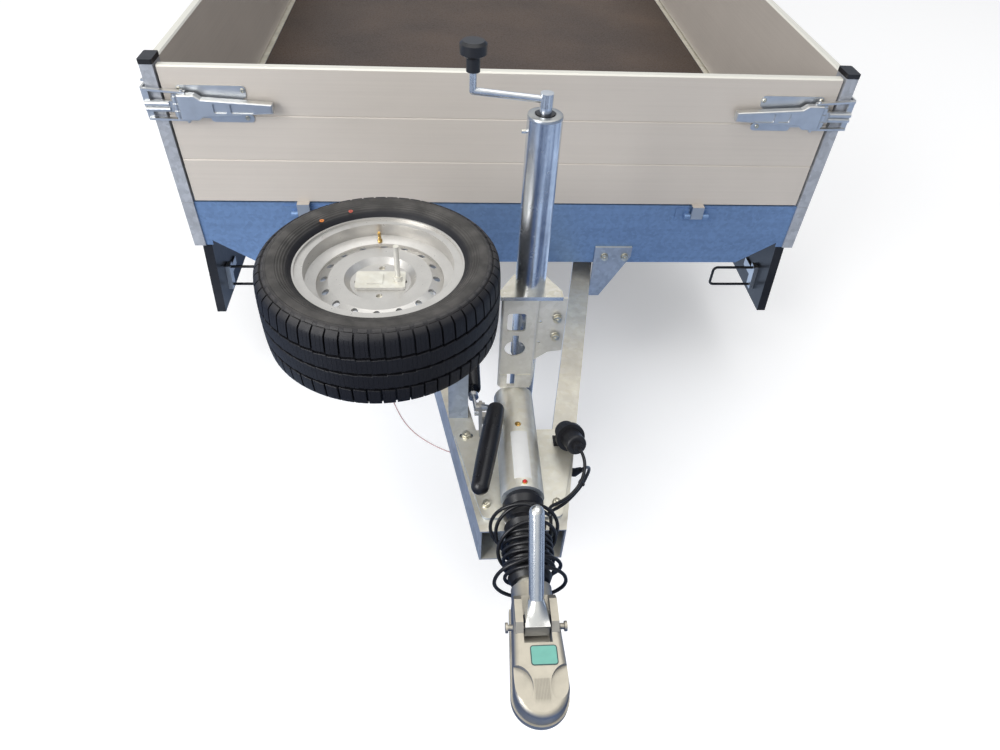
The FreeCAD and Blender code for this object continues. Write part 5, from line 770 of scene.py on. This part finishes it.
TREAD_HALF_WIDTH = 0.084
SHOULDER_DROP = 0.004
CROWN_X = (0.0, 0.03, 0.06, 0.08)
SHOULDER = ((0.088, 0.008), (0.0925, 0.012))
SHOULDER_FOOT = ((0.0944, 0.2468), (0.0925, 0.244))
SHOULDER_ROOT = 0.08
TYRE_STEPS = 168
RIB = (0.003, 0.0385)
SHOULDER_BLOCK = (0.0445, 0.084)
RIB_STEPS = (0.0, 0.3, 0.6, 0.9)
ZIGZAG = 0.0024
ZIGZAG_REACH = 0.01
BLOCK_ROOT = 0.003
BLOCK_EDGE = 0.0012
BLOCK_END = (0.0015, 0.0035)
BLOCK_SHARE = 0.86
BLOCK_STEPS = 3
FLANK_CENTRE = (0.0484, 0.2236)
FLANK_RADIUS = 0.0506
FLANK_ANGLES = (math.radians(24.4), math.radians(-52.8))
FLANK_STEPS = 16
BEAD = ((0.0697, 0.1833), (0.0697, 0.1653), (0.0567, 0.1653))


def crown_drop(x):
    """How far the tread lies under the tyre's full radius at a distance from its middle."""
    return SHOULDER_DROP * min(1.2, abs(x) / TREAD_HALF_WIDTH) ** 3


def tyre_section(radius, depth):
    """Half of the carcass as (x, radius) points, from the crown to the bead."""
    crown = radius - depth
    half = [(x, crown - crown_drop(x)) for x in CROWN_X]
    half += [(x, crown - drop) for x, drop in SHOULDER]
    first, last = FLANK_ANGLES
    for step in range(1, FLANK_STEPS + 1):
        turn = first + (last - first) * step / FLANK_STEPS
        half.append((FLANK_CENTRE[0] + FLANK_RADIUS * math.cos(turn),
                     FLANK_CENTRE[1] + FLANK_RADIUS * math.sin(turn)))
    return [*half, *BEAD]


def tread_section(start, end, radius, depth, over_shoulder):
    """Closed section of a rib or a shoulder block as (x, radius) points."""
    root = radius - depth - BLOCK_ROOT
    near, far = radius - crown_drop(start), radius - crown_drop(end)
    middle = [start + (end - start) * share for share in (0.35, 0.7)]
    top = [(start, root), (start, near - BLOCK_EDGE), (start + BLOCK_EDGE, near)]
    top += [(x, radius - crown_drop(x)) for x in middle]
    if over_shoulder:
        inset, reach = BLOCK_END
        return [*top, (end - inset, far), (end + reach, far - reach), *SHOULDER_FOOT,
                (SHOULDER_ROOT, root)]
    return [*top, (end - BLOCK_EDGE, far), (end, far - BLOCK_EDGE), (end, root)]


def add_sweep(work, sections, angles, closed):
    """Skins sections of (x, radius) points that stand at angles round the axle."""
    loops = [[work.verts.new((x, radius * math.sin(angle), radius * math.cos(angle)))
              for x, radius in section] for section, angle in zip(sections, angles)]
    for first, second in zip(loops, [*loops[1:], loops[0]] if closed else loops[1:]):
        for index in range(len(first)):
            after = (index + 1) % len(first)
            work.faces.new((first[index], first[after], second[after], second[index]))
    if not closed:
        work.faces.new(loops[0])
        work.faces.new(reversed(loops[-1]))


def add_tread(work, radius, depth, pitches):
    """Two ribs with sawtooth edges round the middle and a row of blocks over each shoulder."""
    turn = 2 * math.pi / pitches
    rib = tread_section(*RIB, radius, depth, False)
    block = tread_section(*SHOULDER_BLOCK, radius, depth, True)
    shifts = [ZIGZAG * (share / RIB_STEPS[-1] - 0.5) for share in RIB_STEPS] * pitches
    angles = [(pitch + share) * turn for pitch in range(pitches) for share in RIB_STEPS]
    shares = [step / BLOCK_STEPS for step in range(BLOCK_STEPS + 1)]
    for side in (LEFT, RIGHT):
        ribs = [[(side * (x + shift), r) for x, r in rib] for shift in shifts]
        add_sweep(work, ribs, angles, True)
        begin = 0.5 if side > 0 else 0.0
        rows = [[(side * (x + ZIGZAG * (share - 0.5) * (x < SHOULDER_BLOCK[0] + ZIGZAG_REACH)), r)
                 for x, r in block] for share in shares]
        for pitch in range(pitches):
            spans = [(pitch + begin + share * BLOCK_SHARE) * turn for share in shares]
            add_sweep(work, rows, spans, False)


def tyre_mesh(sizes, radius):
    """One tyre about the origin with its axle along x."""
    work = bmesh.new()
    half = tyre_section(radius, sizes.tread_depth)
    outline = [*half, *[(-x, r) for x, r in reversed(half[1:])]]
    angles = [2 * math.pi * step / TYRE_STEPS for step in range(TYRE_STEPS)]
    add_sweep(work, [outline] * TYRE_STEPS, angles, True)
    add_tread(work, radius, sizes.tread_depth, sizes.tread_pitches)
    mesh = smooth_mesh("tyre_form", work)
    place = mesh.attributes.new("wheel_place", "FLOAT_VECTOR", "POINT")
    place.data.foreach_set("vector", [part for vert in mesh.vertices for part in vert.co])
    return mesh


class TRAILER_OT_tyres(bpy.types.Operator):
    """Add five tyres with tread blocks in place of the plain solids"""

    bl_idname = "trailer.add_tyres"
    bl_label = "Tyres"

    def execute(self, context):
        sizes, colours = context.scene.trailer_sizes, context.scene.trailer_colours
        rubber = tyre_finish(colours.tread, colours.flank, sizes.tread_pitches)
        low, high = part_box("tyre_front_left")
        form = tyre_mesh(sizes, (high.z - low.z) / 2)
        places = {"spare_tyre": "chassis"}
        places.update({f"tyre_{corner}": f"wheel_{corner}" for corner in CORNERS})
        for node, body in places.items():
            low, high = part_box(node)
            mesh = form.copy()
            turn = Matrix.Rotation(math.pi / 2 if body == "chassis" else 0.0, 4, "Y")
            mesh.transform(Matrix.Translation((low + high) / 2) @ turn)
            tyre = place_piece(f"{node}_tread", mesh, rubber, body)
            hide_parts(node)
        bpy.data.meshes.remove(form)
        return {"FINISHED"}


# Grip

GRIP_REAR = (-0.052, -0.662, 0.458)
GRIP_FRONT = (-0.098, -0.884, 0.446)
GRIP_END_RADIUS = 0.0205
GRIP_ENDS = (0.7, 0.97)
GRIP_SWELL = 0.0032
GRIP_STEPS = 9


def grip_profile(length):
    """A smooth sleeve, fullest behind its middle, with round ends, as (radius, height) points."""
    radius, (rear, front) = GRIP_END_RADIUS, GRIP_ENDS
    turns = [math.pi / 2 * step / GRIP_STEPS for step in range(GRIP_STEPS + 1)]
    swell = [(radius + GRIP_SWELL * math.sin(2 * turn), length * (turn / turns[-1]) ** 1.3)
             for turn in turns[1:-1]]
    back = [(radius * math.sin(turn), -radius * rear * math.cos(turn)) for turn in turns]
    return back + swell + [(radius * math.cos(turn), length + radius * front * math.sin(turn))
                           for turn in turns]


class TRAILER_OT_grip(bpy.types.Operator):
    """Add the smooth rubber grip on the handbrake lever"""

    bl_idname = "trailer.add_grip"
    bl_label = "Handbrake grip"

    def execute(self, context):
        rear, front = spot(*GRIP_REAR), spot(*GRIP_FRONT)
        colour = context.scene.trailer_colours.rubber
        rubber = plastic_finish("grip_rubber", colour, 0.28, 300, 0.04)
        sleeve = grip_profile((front - rear).length), rear, front - rear, 40
        turned_piece("handbrake_grip", rubber, [sleeve], crease=GRIP_CREASE)
        return {"FINISHED"}


# Fixings

WING_BOLTS = ((0.124, -0.668, 1.0), (0.082, -0.877, 0.9))
WING_TOP = 0.366
TAB_BOLT_X = (0.324, 0.388)
TAB_BOLT_Z = 0.452
TAB_BOLT_SHARE = 1.05
JACK_PLATE_BOLTS = ((0.089, 0.668), (0.089, 0.612))
JACK_PLATE_STEP = 0.009
LATCH_SCREWS = ((-0.845, 0.956), (-0.687, 0.954), (-0.688, 0.882))
LATCH_FACE = -0.003
SOCKET_SCREW = ((0.0, 0.0008), (0.4, 0.0008), (0.42, 0.0036), (0.75, 0.0036), (1.0, 0.002),
                (1.0, 0.0), (0.0, 0.0))
WHEEL_BOLT_COUNT = 4
WHEEL_BOLT_CIRCLE = 0.05
WHEEL_FACE = 0.03
VALVE_CIRCLE = 0.145
VALVE_RISE = 0.0385
VALVE_LEAN = 0.25
VALVE = ((0.0, 0.0), (0.0058, 0.0), (0.0058, 0.003), (0.004, 0.005), (0.004, 0.014),
         (0.003, 0.015), (0.003, 0.017), (0.0036, 0.018), (0.0036, 0.027), (0.0028, 0.029),
         (0.0, 0.029))


class TRAILER_OT_fixings(bpy.types.Operator):
    """Add the drawbar's, jack's and wheels' bolts, the latches' screws and the valves"""

    bl_idname = "trailer.add_fixings"
    bl_label = "Bolts, screws and valves"

    def execute(self, context):
        sizes = context.scene.trailer_sizes
        across = sizes.bolt_across
        zinc = zinc_finish("bolt_zinc", (0.66, 0.64, 0.55, 1), 0.28)
        work = bmesh.new()
        for x, y, share in WING_BOLTS:
            for side in (LEFT, RIGHT):
                add_hex_bolt(work, spot(side * x, y, WING_TOP), UP, across * share)
        tab_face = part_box("beam_tabs")[0].y
        for side in (LEFT, RIGHT):
            for x in TAB_BOLT_X:
                place = (side * x, tab_face, TAB_BOLT_Z)
                add_hex_bolt(work, place, FRONTWARD, across * TAB_BOLT_SHARE)
        plate_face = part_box("jack_bracket")[0].y + JACK_PLATE_STEP
        for x, z in JACK_PLATE_BOLTS:
            add_hex_bolt(work, (x, plate_face, z), FRONTWARD, across)
        close_piece("drawbar_bolts", work, zinc)
        profile = [(radius * sizes.screw_radius, height) for radius, height in SOCKET_SCREW]
        screws = [(profile, spot(side * -x, LATCH_FACE, z), FRONTWARD, 20)
                  for side in (LEFT, RIGHT) for x, z in LATCH_SCREWS]
        turned_piece("latch_screws", zinc, screws, "front_board")
        zinc = zinc_finish("wheel_bolt_zinc", (0.62, 0.62, 0.6, 1), 0.26)
        black = plastic_finish("valve_rubber", context.scene.trailer_colours.rubber, 0.4)
        for corner in CORNERS:
            low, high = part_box(f"rim_{corner}")
            middle = (low + high) / 2
            outward = Vector((LEFT if middle.x < 0 else RIGHT, 0, 0))
            work = bmesh.new()
            for bolt in range(WHEEL_BOLT_COUNT):
                turn = 2 * math.pi * bolt / WHEEL_BOLT_COUNT
                around = Vector((0, math.cos(turn), math.sin(turn))) * WHEEL_BOLT_CIRCLE
                add_hex_bolt(work, middle + outward * WHEEL_FACE + around, outward, across)
            close_piece(f"wheel_bolts_{corner}", work, zinc, f"wheel_{corner}")
            foot = middle + outward * VALVE_RISE + UP * VALVE_CIRCLE
            valve = VALVE, foot, outward - UP * VALVE_LEAN, 20
            turned_piece(f"valve_{corner}", black, [valve], f"wheel_{corner}")
        return {"FINISHED"}


# Reflectors and rear lamps

REFLECTORS = {"left": (-0.803, -0.692, 0.519, 0.58), "right": (0.683, 0.8, 0.515, 0.574)}
REFLECTOR_THICKNESS = 0.0035
REFLECTOR_SETBACK = 0.053
PLATE_EDGE = 0.0012
PLATE_SCREW_INSET = 0.007
PLATE_SCREW = (0.0035, 0.0015, 0.0008)
LAMP_COLOURS = {"amber": (0.75, 0.2, 0.01, 1), "red": (0.42, 0.008, 0.008, 1),
                "white": (0.72, 0.73, 0.74, 1)}
LAMP_FIELDS = (("amber", 0.00, 0.3), ("red", 0.31, 0.72), ("white", 0.73, 1.00))
LAMP_WIDTH = 0.24
LAMP_RIM = 0.006
LAMP_BASE_DEPTH = 0.014
LAMP_BASE_BEVEL = 0.004
LENS_BEVEL = 0.007


class TRAILER_OT_reflectors(bpy.types.Operator):
    """Add the two blank white front reflectors on the panel"""

    bl_idname = "trailer.add_reflectors"
    bl_label = "Front reflectors"

    def execute(self, context):
        web = Finish("white_reflector")
        prisms = web.pits(600)
        web.set("Coat Weight", 0.4)
        tone = web.blend(
            web.spread(prisms, 0.0, 1.0, 0.0, 0.6), (0.8, 0.81, 0.8, 1), (0.68, 0.7, 0.7, 1))
        white = web.coat(tone, 0.22, prisms, 0.0005, 0.4)
        zinc = zinc_finish("reflector_screw_zinc", (0.55, 0.55, 0.52, 1), 0.3)
        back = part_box("front_panel")[0].y + REFLECTOR_SETBACK
        face = back - REFLECTOR_THICKNESS
        for name, (left, right, low, high) in REFLECTORS.items():
            work = bmesh.new()
            add_block(work, (left, face, low), (right, back, high), PLATE_EDGE)
            close_piece(f"front_reflector_{name}", work, white)
            screws = [(dome(*PLATE_SCREW), (x, face, (low + high) / 2), FRONTWARD, 16)
                      for x in (left + PLATE_SCREW_INSET, right - PLATE_SCREW_INSET)]
            turned_piece(f"reflector_screws_{name}", zinc, screws)
        return {"FINISHED"}


class TRAILER_OT_rear_lamps(bpy.types.Operator):
    """Add the rear lamps with their fields in place of the plain solids"""

    bl_idname = "trailer.add_rear_lamps"
    bl_label = "Rear lamps"

    def execute(self, context):
        base = plastic_finish("lamp_base", context.scene.trailer_colours.black, 0.4)
        lenses = {name: lens_finish(f"{name}_lens", colour)
                  for name, colour in LAMP_COLOURS.items()}
        low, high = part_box("rear_lamps")
        seam = low.y + LAMP_BASE_DEPTH
        for name, outer, inward in (("left", low.x, 1), ("right", high.x, -1)):
            work = bmesh.new()
            left, right = sorted((outer, outer + inward * LAMP_WIDTH))
            add_block(work, (left, low.y, low.z), (right, seam, high.z), LAMP_BASE_BEVEL)
            body = close_piece(f"rear_lamp_base_{name}", work, base)
            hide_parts("rear_lamps")
            reach = LAMP_WIDTH - 2 * LAMP_RIM
            for field, *ends in LAMP_FIELDS:
                left, right = sorted(outer + inward * (LAMP_RIM + end * reach) for end in ends)
                work = bmesh.new()
                add_block(work, (left, low.y + LAMP_BASE_DEPTH / 2, low.z + LAMP_RIM),
                          (right, high.y, high.z - LAMP_RIM), LENS_BEVEL, 3)
                close_piece(f"rear_lamp_{field}_{name}", work, lenses[field])
        return {"FINISHED"}


# Labels and small parts

LABEL_CORNERS = (-0.0175, 0.0335, -1.2835, -1.2455)
LABEL_EDGE = 0.002
LABEL_CORNER = 0.006
LABEL_SETBACK = 0.015
LABEL_FOOT = 0.001
STICKER_HALF_WIDTH = 0.0195
STICKER_ENDS = (-0.861, -0.722)
STICKER_STEPS = 10
STICKER_FACES = (0.0005, -0.0004)
TUBE_AXIS_Z = 0.395
TUBE_RADIUS = 0.05
BUTTON_PLACE = (0.003, -0.8735)
TUBE_BOLT_PLACE = (0.0, -0.7)
SINK = 0.0008
VALVE_PLACE = (-0.3225, -0.43, 0.7865)
VALVE_DIRECTION = (0.0, -0.25, 1.0)
PAINT_DOT = ((0.0022, 0.0), (0.0022, 0.0016), (0.005, 0.0016), (0.005, 0.0), (0.0022, 0.0))
PAINT_DOTS = (
    ("orange", (0.8, 0.25, 0.05, 1), (-0.4471, -0.4382, 0.8444)),
    ("red", (0.62, 0.12, 0.08, 1), (-0.3868, -0.3978, 0.8444)),
)
STRUT_COVER_PLACE = (-0.105, -0.29, 0.4)
STRUT_COVER = ((0.0, 0.0), (0.02, 0.0), (0.022, 0.002), (0.022, 0.244), (0.0205, 0.248),
               (0.017, 0.248), (0.0165, 0.242), (0.0, 0.242))
JACK_TOP = (0.025, -0.52, 1.13)
JACK_LID = ((0.0122, 0.0), (0.0355, 0.0), (0.0355, 0.002), (0.034, 0.005), (0.0305, 0.0065),
            (0.021, 0.0065), (0.02, 0.004), (0.0122, 0.004), (0.0122, 0.0))
JACK_SEAL = ((0.0122, 0.004), (0.0195, 0.004), (0.019, 0.0075), (0.014, 0.0085),
             (0.0122, 0.0085), (0.0122, 0.004))


class TRAILER_OT_labels(bpy.types.Operator):
    """Add the blank label on the coupling and the blank sticker on the housing tube"""

    bl_idname = "trailer.add_labels"
    bl_label = "Blank labels"

    def execute(self, context):
        left, right, near, far = LABEL_CORNERS
        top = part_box("coupling_head")[1].z - LABEL_SETBACK
        for name, tone, inset, rise in (
                ("coupling_label_rim", (0.03, 0.08, 0.08, 1), 0.0, 0.0008),
                ("coupling_label", context.scene.trailer_colours.label, LABEL_EDGE, 0.0011)):
            material = mottled_finish(name, tone, shade(tone, 0.8), (60, 3), 0.35)
            work = bmesh.new()
            add_block(work, spot(left + inset, near + inset, top - LABEL_FOOT),
                      spot(right - inset, far - inset, top + rise))
            upright = [edge for edge in work.edges
                       if abs(edge.verts[0].co.z - edge.verts[1].co.z) > rise]
            bevel(work, upright, LABEL_CORNER - inset, 5)
            close_piece(name, work, material)
        white = mottled_finish(
            "blank_sticker", (0.8, 0.8, 0.78, 1), (0.7, 0.7, 0.69, 1), (40, 3), 0.3)
        reach = math.asin(STICKER_HALF_WIDTH / TUBE_RADIUS)
        turns = [reach * (step / STICKER_STEPS * 2 - 1) for step in range(STICKER_STEPS + 1)]
        over, under = [TUBE_RADIUS + rise for rise in STICKER_FACES]
        arcs = [(over, turn) for turn in turns] + [(under, turn) for turn in reversed(turns)]
        work = bmesh.new()
        loops = [[
            work.verts.new(spot(r * math.sin(turn), y, TUBE_AXIS_Z + r * math.cos(turn)))
            for r, turn in arcs] for y in STICKER_ENDS]
        bmesh.ops.bridge_loops(work, edges=[
            work.edges.new(pair) for loop in loops for pair in zip(loop, [*loop[1:], loop[0]])])
        for loop in loops:
            work.faces.new(loop)
        close_piece("tube_sticker", work, white)
        return {"FINISHED"}


class TRAILER_OT_small_parts(bpy.types.Operator):
    """Add the button, bolt and covers of tube, strut and jack, and the spare's valve and dots"""

    bl_idname = "trailer.add_small_parts"
    bl_label = "Small parts"

    def execute(self, context):
        top = TUBE_AXIS_Z + TUBE_RADIUS
        brass = zinc_finish("brass", (0.55, 0.36, 0.12, 1), 0.25)
        red = plastic_finish("red_plastic", (0.55, 0.02, 0.02, 1), 0.3)
        bolt, button = spot(*TUBE_BOLT_PLACE, top - SINK), spot(*BUTTON_PLACE, top - SINK)
        turned_piece("brass_parts", brass, [
            (dome(0.0075, 0.001, 0.0012), bolt, UP, 24),
            (dome(0.0042, 0.0012, 0.0036), bolt, UP, 6),
            (dome(0.0064, 0.001, 0.0014), button, UP, 24),
            (VALVE, spot(*VALVE_PLACE), VALVE_DIRECTION, 20)])
        cap = dome(0.0044, 0.0036, 0.003), spot(*BUTTON_PLACE, top), UP, 24
        turned_piece("red_button", red, [cap])
        black = plastic_finish("glossy_black", context.scene.trailer_colours.black, 0.24, 300, 0.05)
        jack_top = spot(*JACK_TOP)
        turned_piece("strut_cover_and_seal", black, [
            (STRUT_COVER, spot(*STRUT_COVER_PLACE), FRONTWARD, 40), (JACK_SEAL, jack_top, UP, 40)])
        zinc = zinc_finish("lid_zinc", (0.5, 0.52, 0.54, 1), 0.3)
        turned_piece("jack_lid", zinc, [(JACK_LID, jack_top, UP, 40)])
        for name, colour, place in PAINT_DOTS:
            material = mottled_finish(f"{name}_paint", colour, shade(colour, 0.7), (300, 2), 0.5)
            turned_piece(f"{name}_dot", material, [(PAINT_DOT, spot(*place), UP, 20)])
        return {"FINISHED"}


# Stage

CAMERA_PLACE = (-0.1581, -2.7221, 1.7099)
SENSOR_WIDTH = 36.0
FLOOR_HALF_SIZE = 40.0
OVERHEAD_SIZE = 9.0
OVERHEAD_PLACE = (0.5, -0.6, 9.0)
FRONT_SIZE = 3.6
FRONT_PLACE = (-4.2, -4.6, 3.4)
LIGHT_AIM = (0.0, -0.4, 0.4)
FLOOR_LIFT = 0.3
MIRROR_SCALE = 0.7
MIRROR_DARK = (0.035, 0.07, 0.17, 1)
MIRROR_LIGHT = (0.62, 0.76, 1.0, 1)
SKY_HORIZON = (0.16, 0.26, 0.46, 1)
SKY_TOP = (0.84, 0.86, 0.88, 1)
SKY_RIGHT = (0.05, 0.1, 0.2, 1)
SOFT_LIGHT = (0.97, 0.98, 1.0, 1)
BACKDROP = (0.74, 0.745, 0.752, 1)
WHITE = (1, 1, 1, 1)
DARK = (0, 0, 0, 1)


def add_light(name, place, size, watts):
    """A square soft light that looks at the trailer."""
    lamp = bpy.data.lights.new(name, "AREA")
    lamp.shape = "SQUARE"
    lamp.size = size
    lamp.energy = watts
    holder = bpy.data.objects.new(name, lamp)
    holder.location = place
    holder.rotation_euler = (Vector(LIGHT_AIM) - Vector(place)).to_track_quat("-Z", "Y").to_euler()
    bpy.context.scene.collection.objects.link(holder)


def add_floor(colour):
    """A pale floor that keeps the trailer's shadow; metal mirrors a workshop floor's blues."""
    work = bmesh.new()
    bmesh.ops.create_grid(work, x_segments=1, y_segments=1, size=FLOOR_HALF_SIZE)
    mesh = bpy.data.meshes.new("floor")
    work.to_mesh(mesh)
    work.free()
    floor = bpy.data.objects.new("floor", mesh)
    bpy.context.scene.collection.objects.link(floor)
    web = Finish("studio_floor", specular=0.0)
    glossy = web.ray("Is Glossy Ray")
    mirrored = web.stain(MIRROR_DARK, MIRROR_LIGHT, MIRROR_SCALE, 2, 1.0, 0.43, 0.57)
    web.set("Emission Color", web.blend(glossy, WHITE, mirrored))
    lift = web.times(web.ray("Is Camera Ray"), FLOOR_LIFT)
    web.set("Emission Strength", web.maths("ADD", lift, glossy))
    mesh.materials.append(web.coat(web.blend(glossy, colour, DARK), 0.9))


def set_world(strength):
    """Soft light from all sides; metal mirrors a pale sky over a blue horizon."""
    world = bpy.data.worlds.new("studio")
    world.use_nodes = True
    web = Web(world.node_tree, "Generated")
    sky = web.blend(web.rise(web.axis("Z"), 0.0, 0.45), SKY_HORIZON, SKY_TOP)
    sky = web.blend(web.spread(web.axis("X"), 0.0, 0.75, 0.15, 0.8), sky, SKY_RIGHT)
    light = web.blend(web.ray("Is Glossy Ray"), shade(SOFT_LIGHT, strength), sky)
    seen = web.blend(web.ray("Is Camera Ray"), light, BACKDROP)
    web.feed(web.tree.nodes["Background"].inputs["Color"], seen)
    bpy.context.scene.world = world


class TRAILER_OT_stage(bpy.types.Operator):
    """Add the pale floor, the soft lights and the camera"""

    bl_idname = "trailer.add_stage"
    bl_label = "Stage"

    def execute(self, context):
        stage = context.scene.trailer_stage
        add_floor(stage.floor)
        set_world(stage.ambient)
        add_light("overhead_light", OVERHEAD_PLACE, OVERHEAD_SIZE, stage.overhead)
        add_light("front_light", FRONT_PLACE, FRONT_SIZE, stage.front)
        data = bpy.data.cameras.new("camera")
        data.sensor_width = SENSOR_WIDTH
        data.lens = stage.lens
        camera = bpy.data.objects.new("camera", data)
        turn = (Matrix.Rotation(-stage.yaw, 4, "Z")
                @ Matrix.Rotation(math.pi / 2 - stage.pitch, 4, "X")
                @ Matrix.Rotation(stage.roll, 4, "Z"))
        camera.matrix_world = Matrix.Translation(CAMERA_PLACE) @ turn
        context.scene.collection.objects.link(camera)
        context.scene.camera = camera
        context.scene.view_settings.view_transform = "Standard"
        return {"FINISHED"}


PIECES = (
    TRAILER_OT_stage, TRAILER_OT_lead, TRAILER_OT_safety_cable, TRAILER_OT_finishes,
    TRAILER_OT_tyres, TRAILER_OT_grip, TRAILER_OT_fixings, TRAILER_OT_reflectors,
    TRAILER_OT_rear_lamps, TRAILER_OT_labels, TRAILER_OT_small_parts,
)
GROUPS = {"trailer_sizes": TrailerSizes, "trailer_colours": TrailerColours,
          "trailer_stage": TrailerStage}


class TRAILER_PT_looks(bpy.types.Panel):
    """Lists the trailer's pieces, sizes and colours"""

    bl_idname = "TRAILER_PT_looks"
    bl_label = "Utility trailer"
    bl_space_type = "VIEW_3D"
    bl_region_type = "UI"
    bl_category = "Trailer"

    def draw(self, context):
        column = self.layout.column(align=True)
        for piece in PIECES:
            column.operator(piece.bl_idname)
        for group in GROUPS:
            values = getattr(context.scene, group)
            box = self.layout.box()
            for name in values.__annotations__:
                box.prop(values, name)


def register():
    for name, group in GROUPS.items():
        bpy.utils.register_class(group)
        setattr(bpy.types.Scene, name, PointerProperty(type=group))
    for piece in (*PIECES, TRAILER_PT_looks):
        bpy.utils.register_class(piece)


def unregister():
    for piece in reversed((*PIECES, TRAILER_PT_looks)):
        bpy.utils.unregister_class(piece)
    for name, group in GROUPS.items():
        delattr(bpy.types.Scene, name)
        bpy.utils.unregister_class(group)


def main():
    register()
    bpy.ops.trailer.add_stage()
    bpy.ops.trailer.add_lead()
    bpy.ops.trailer.add_safety_cable()
    bpy.ops.trailer.add_finishes()
    bpy.ops.trailer.add_tyres()
    bpy.ops.trailer.add_grip()
    bpy.ops.trailer.add_fixings()
    bpy.ops.trailer.add_reflectors()
    bpy.ops.trailer.add_rear_lamps()
    bpy.ops.trailer.add_labels()
    bpy.ops.trailer.add_small_parts()


if __name__ == "__main__":
    main()
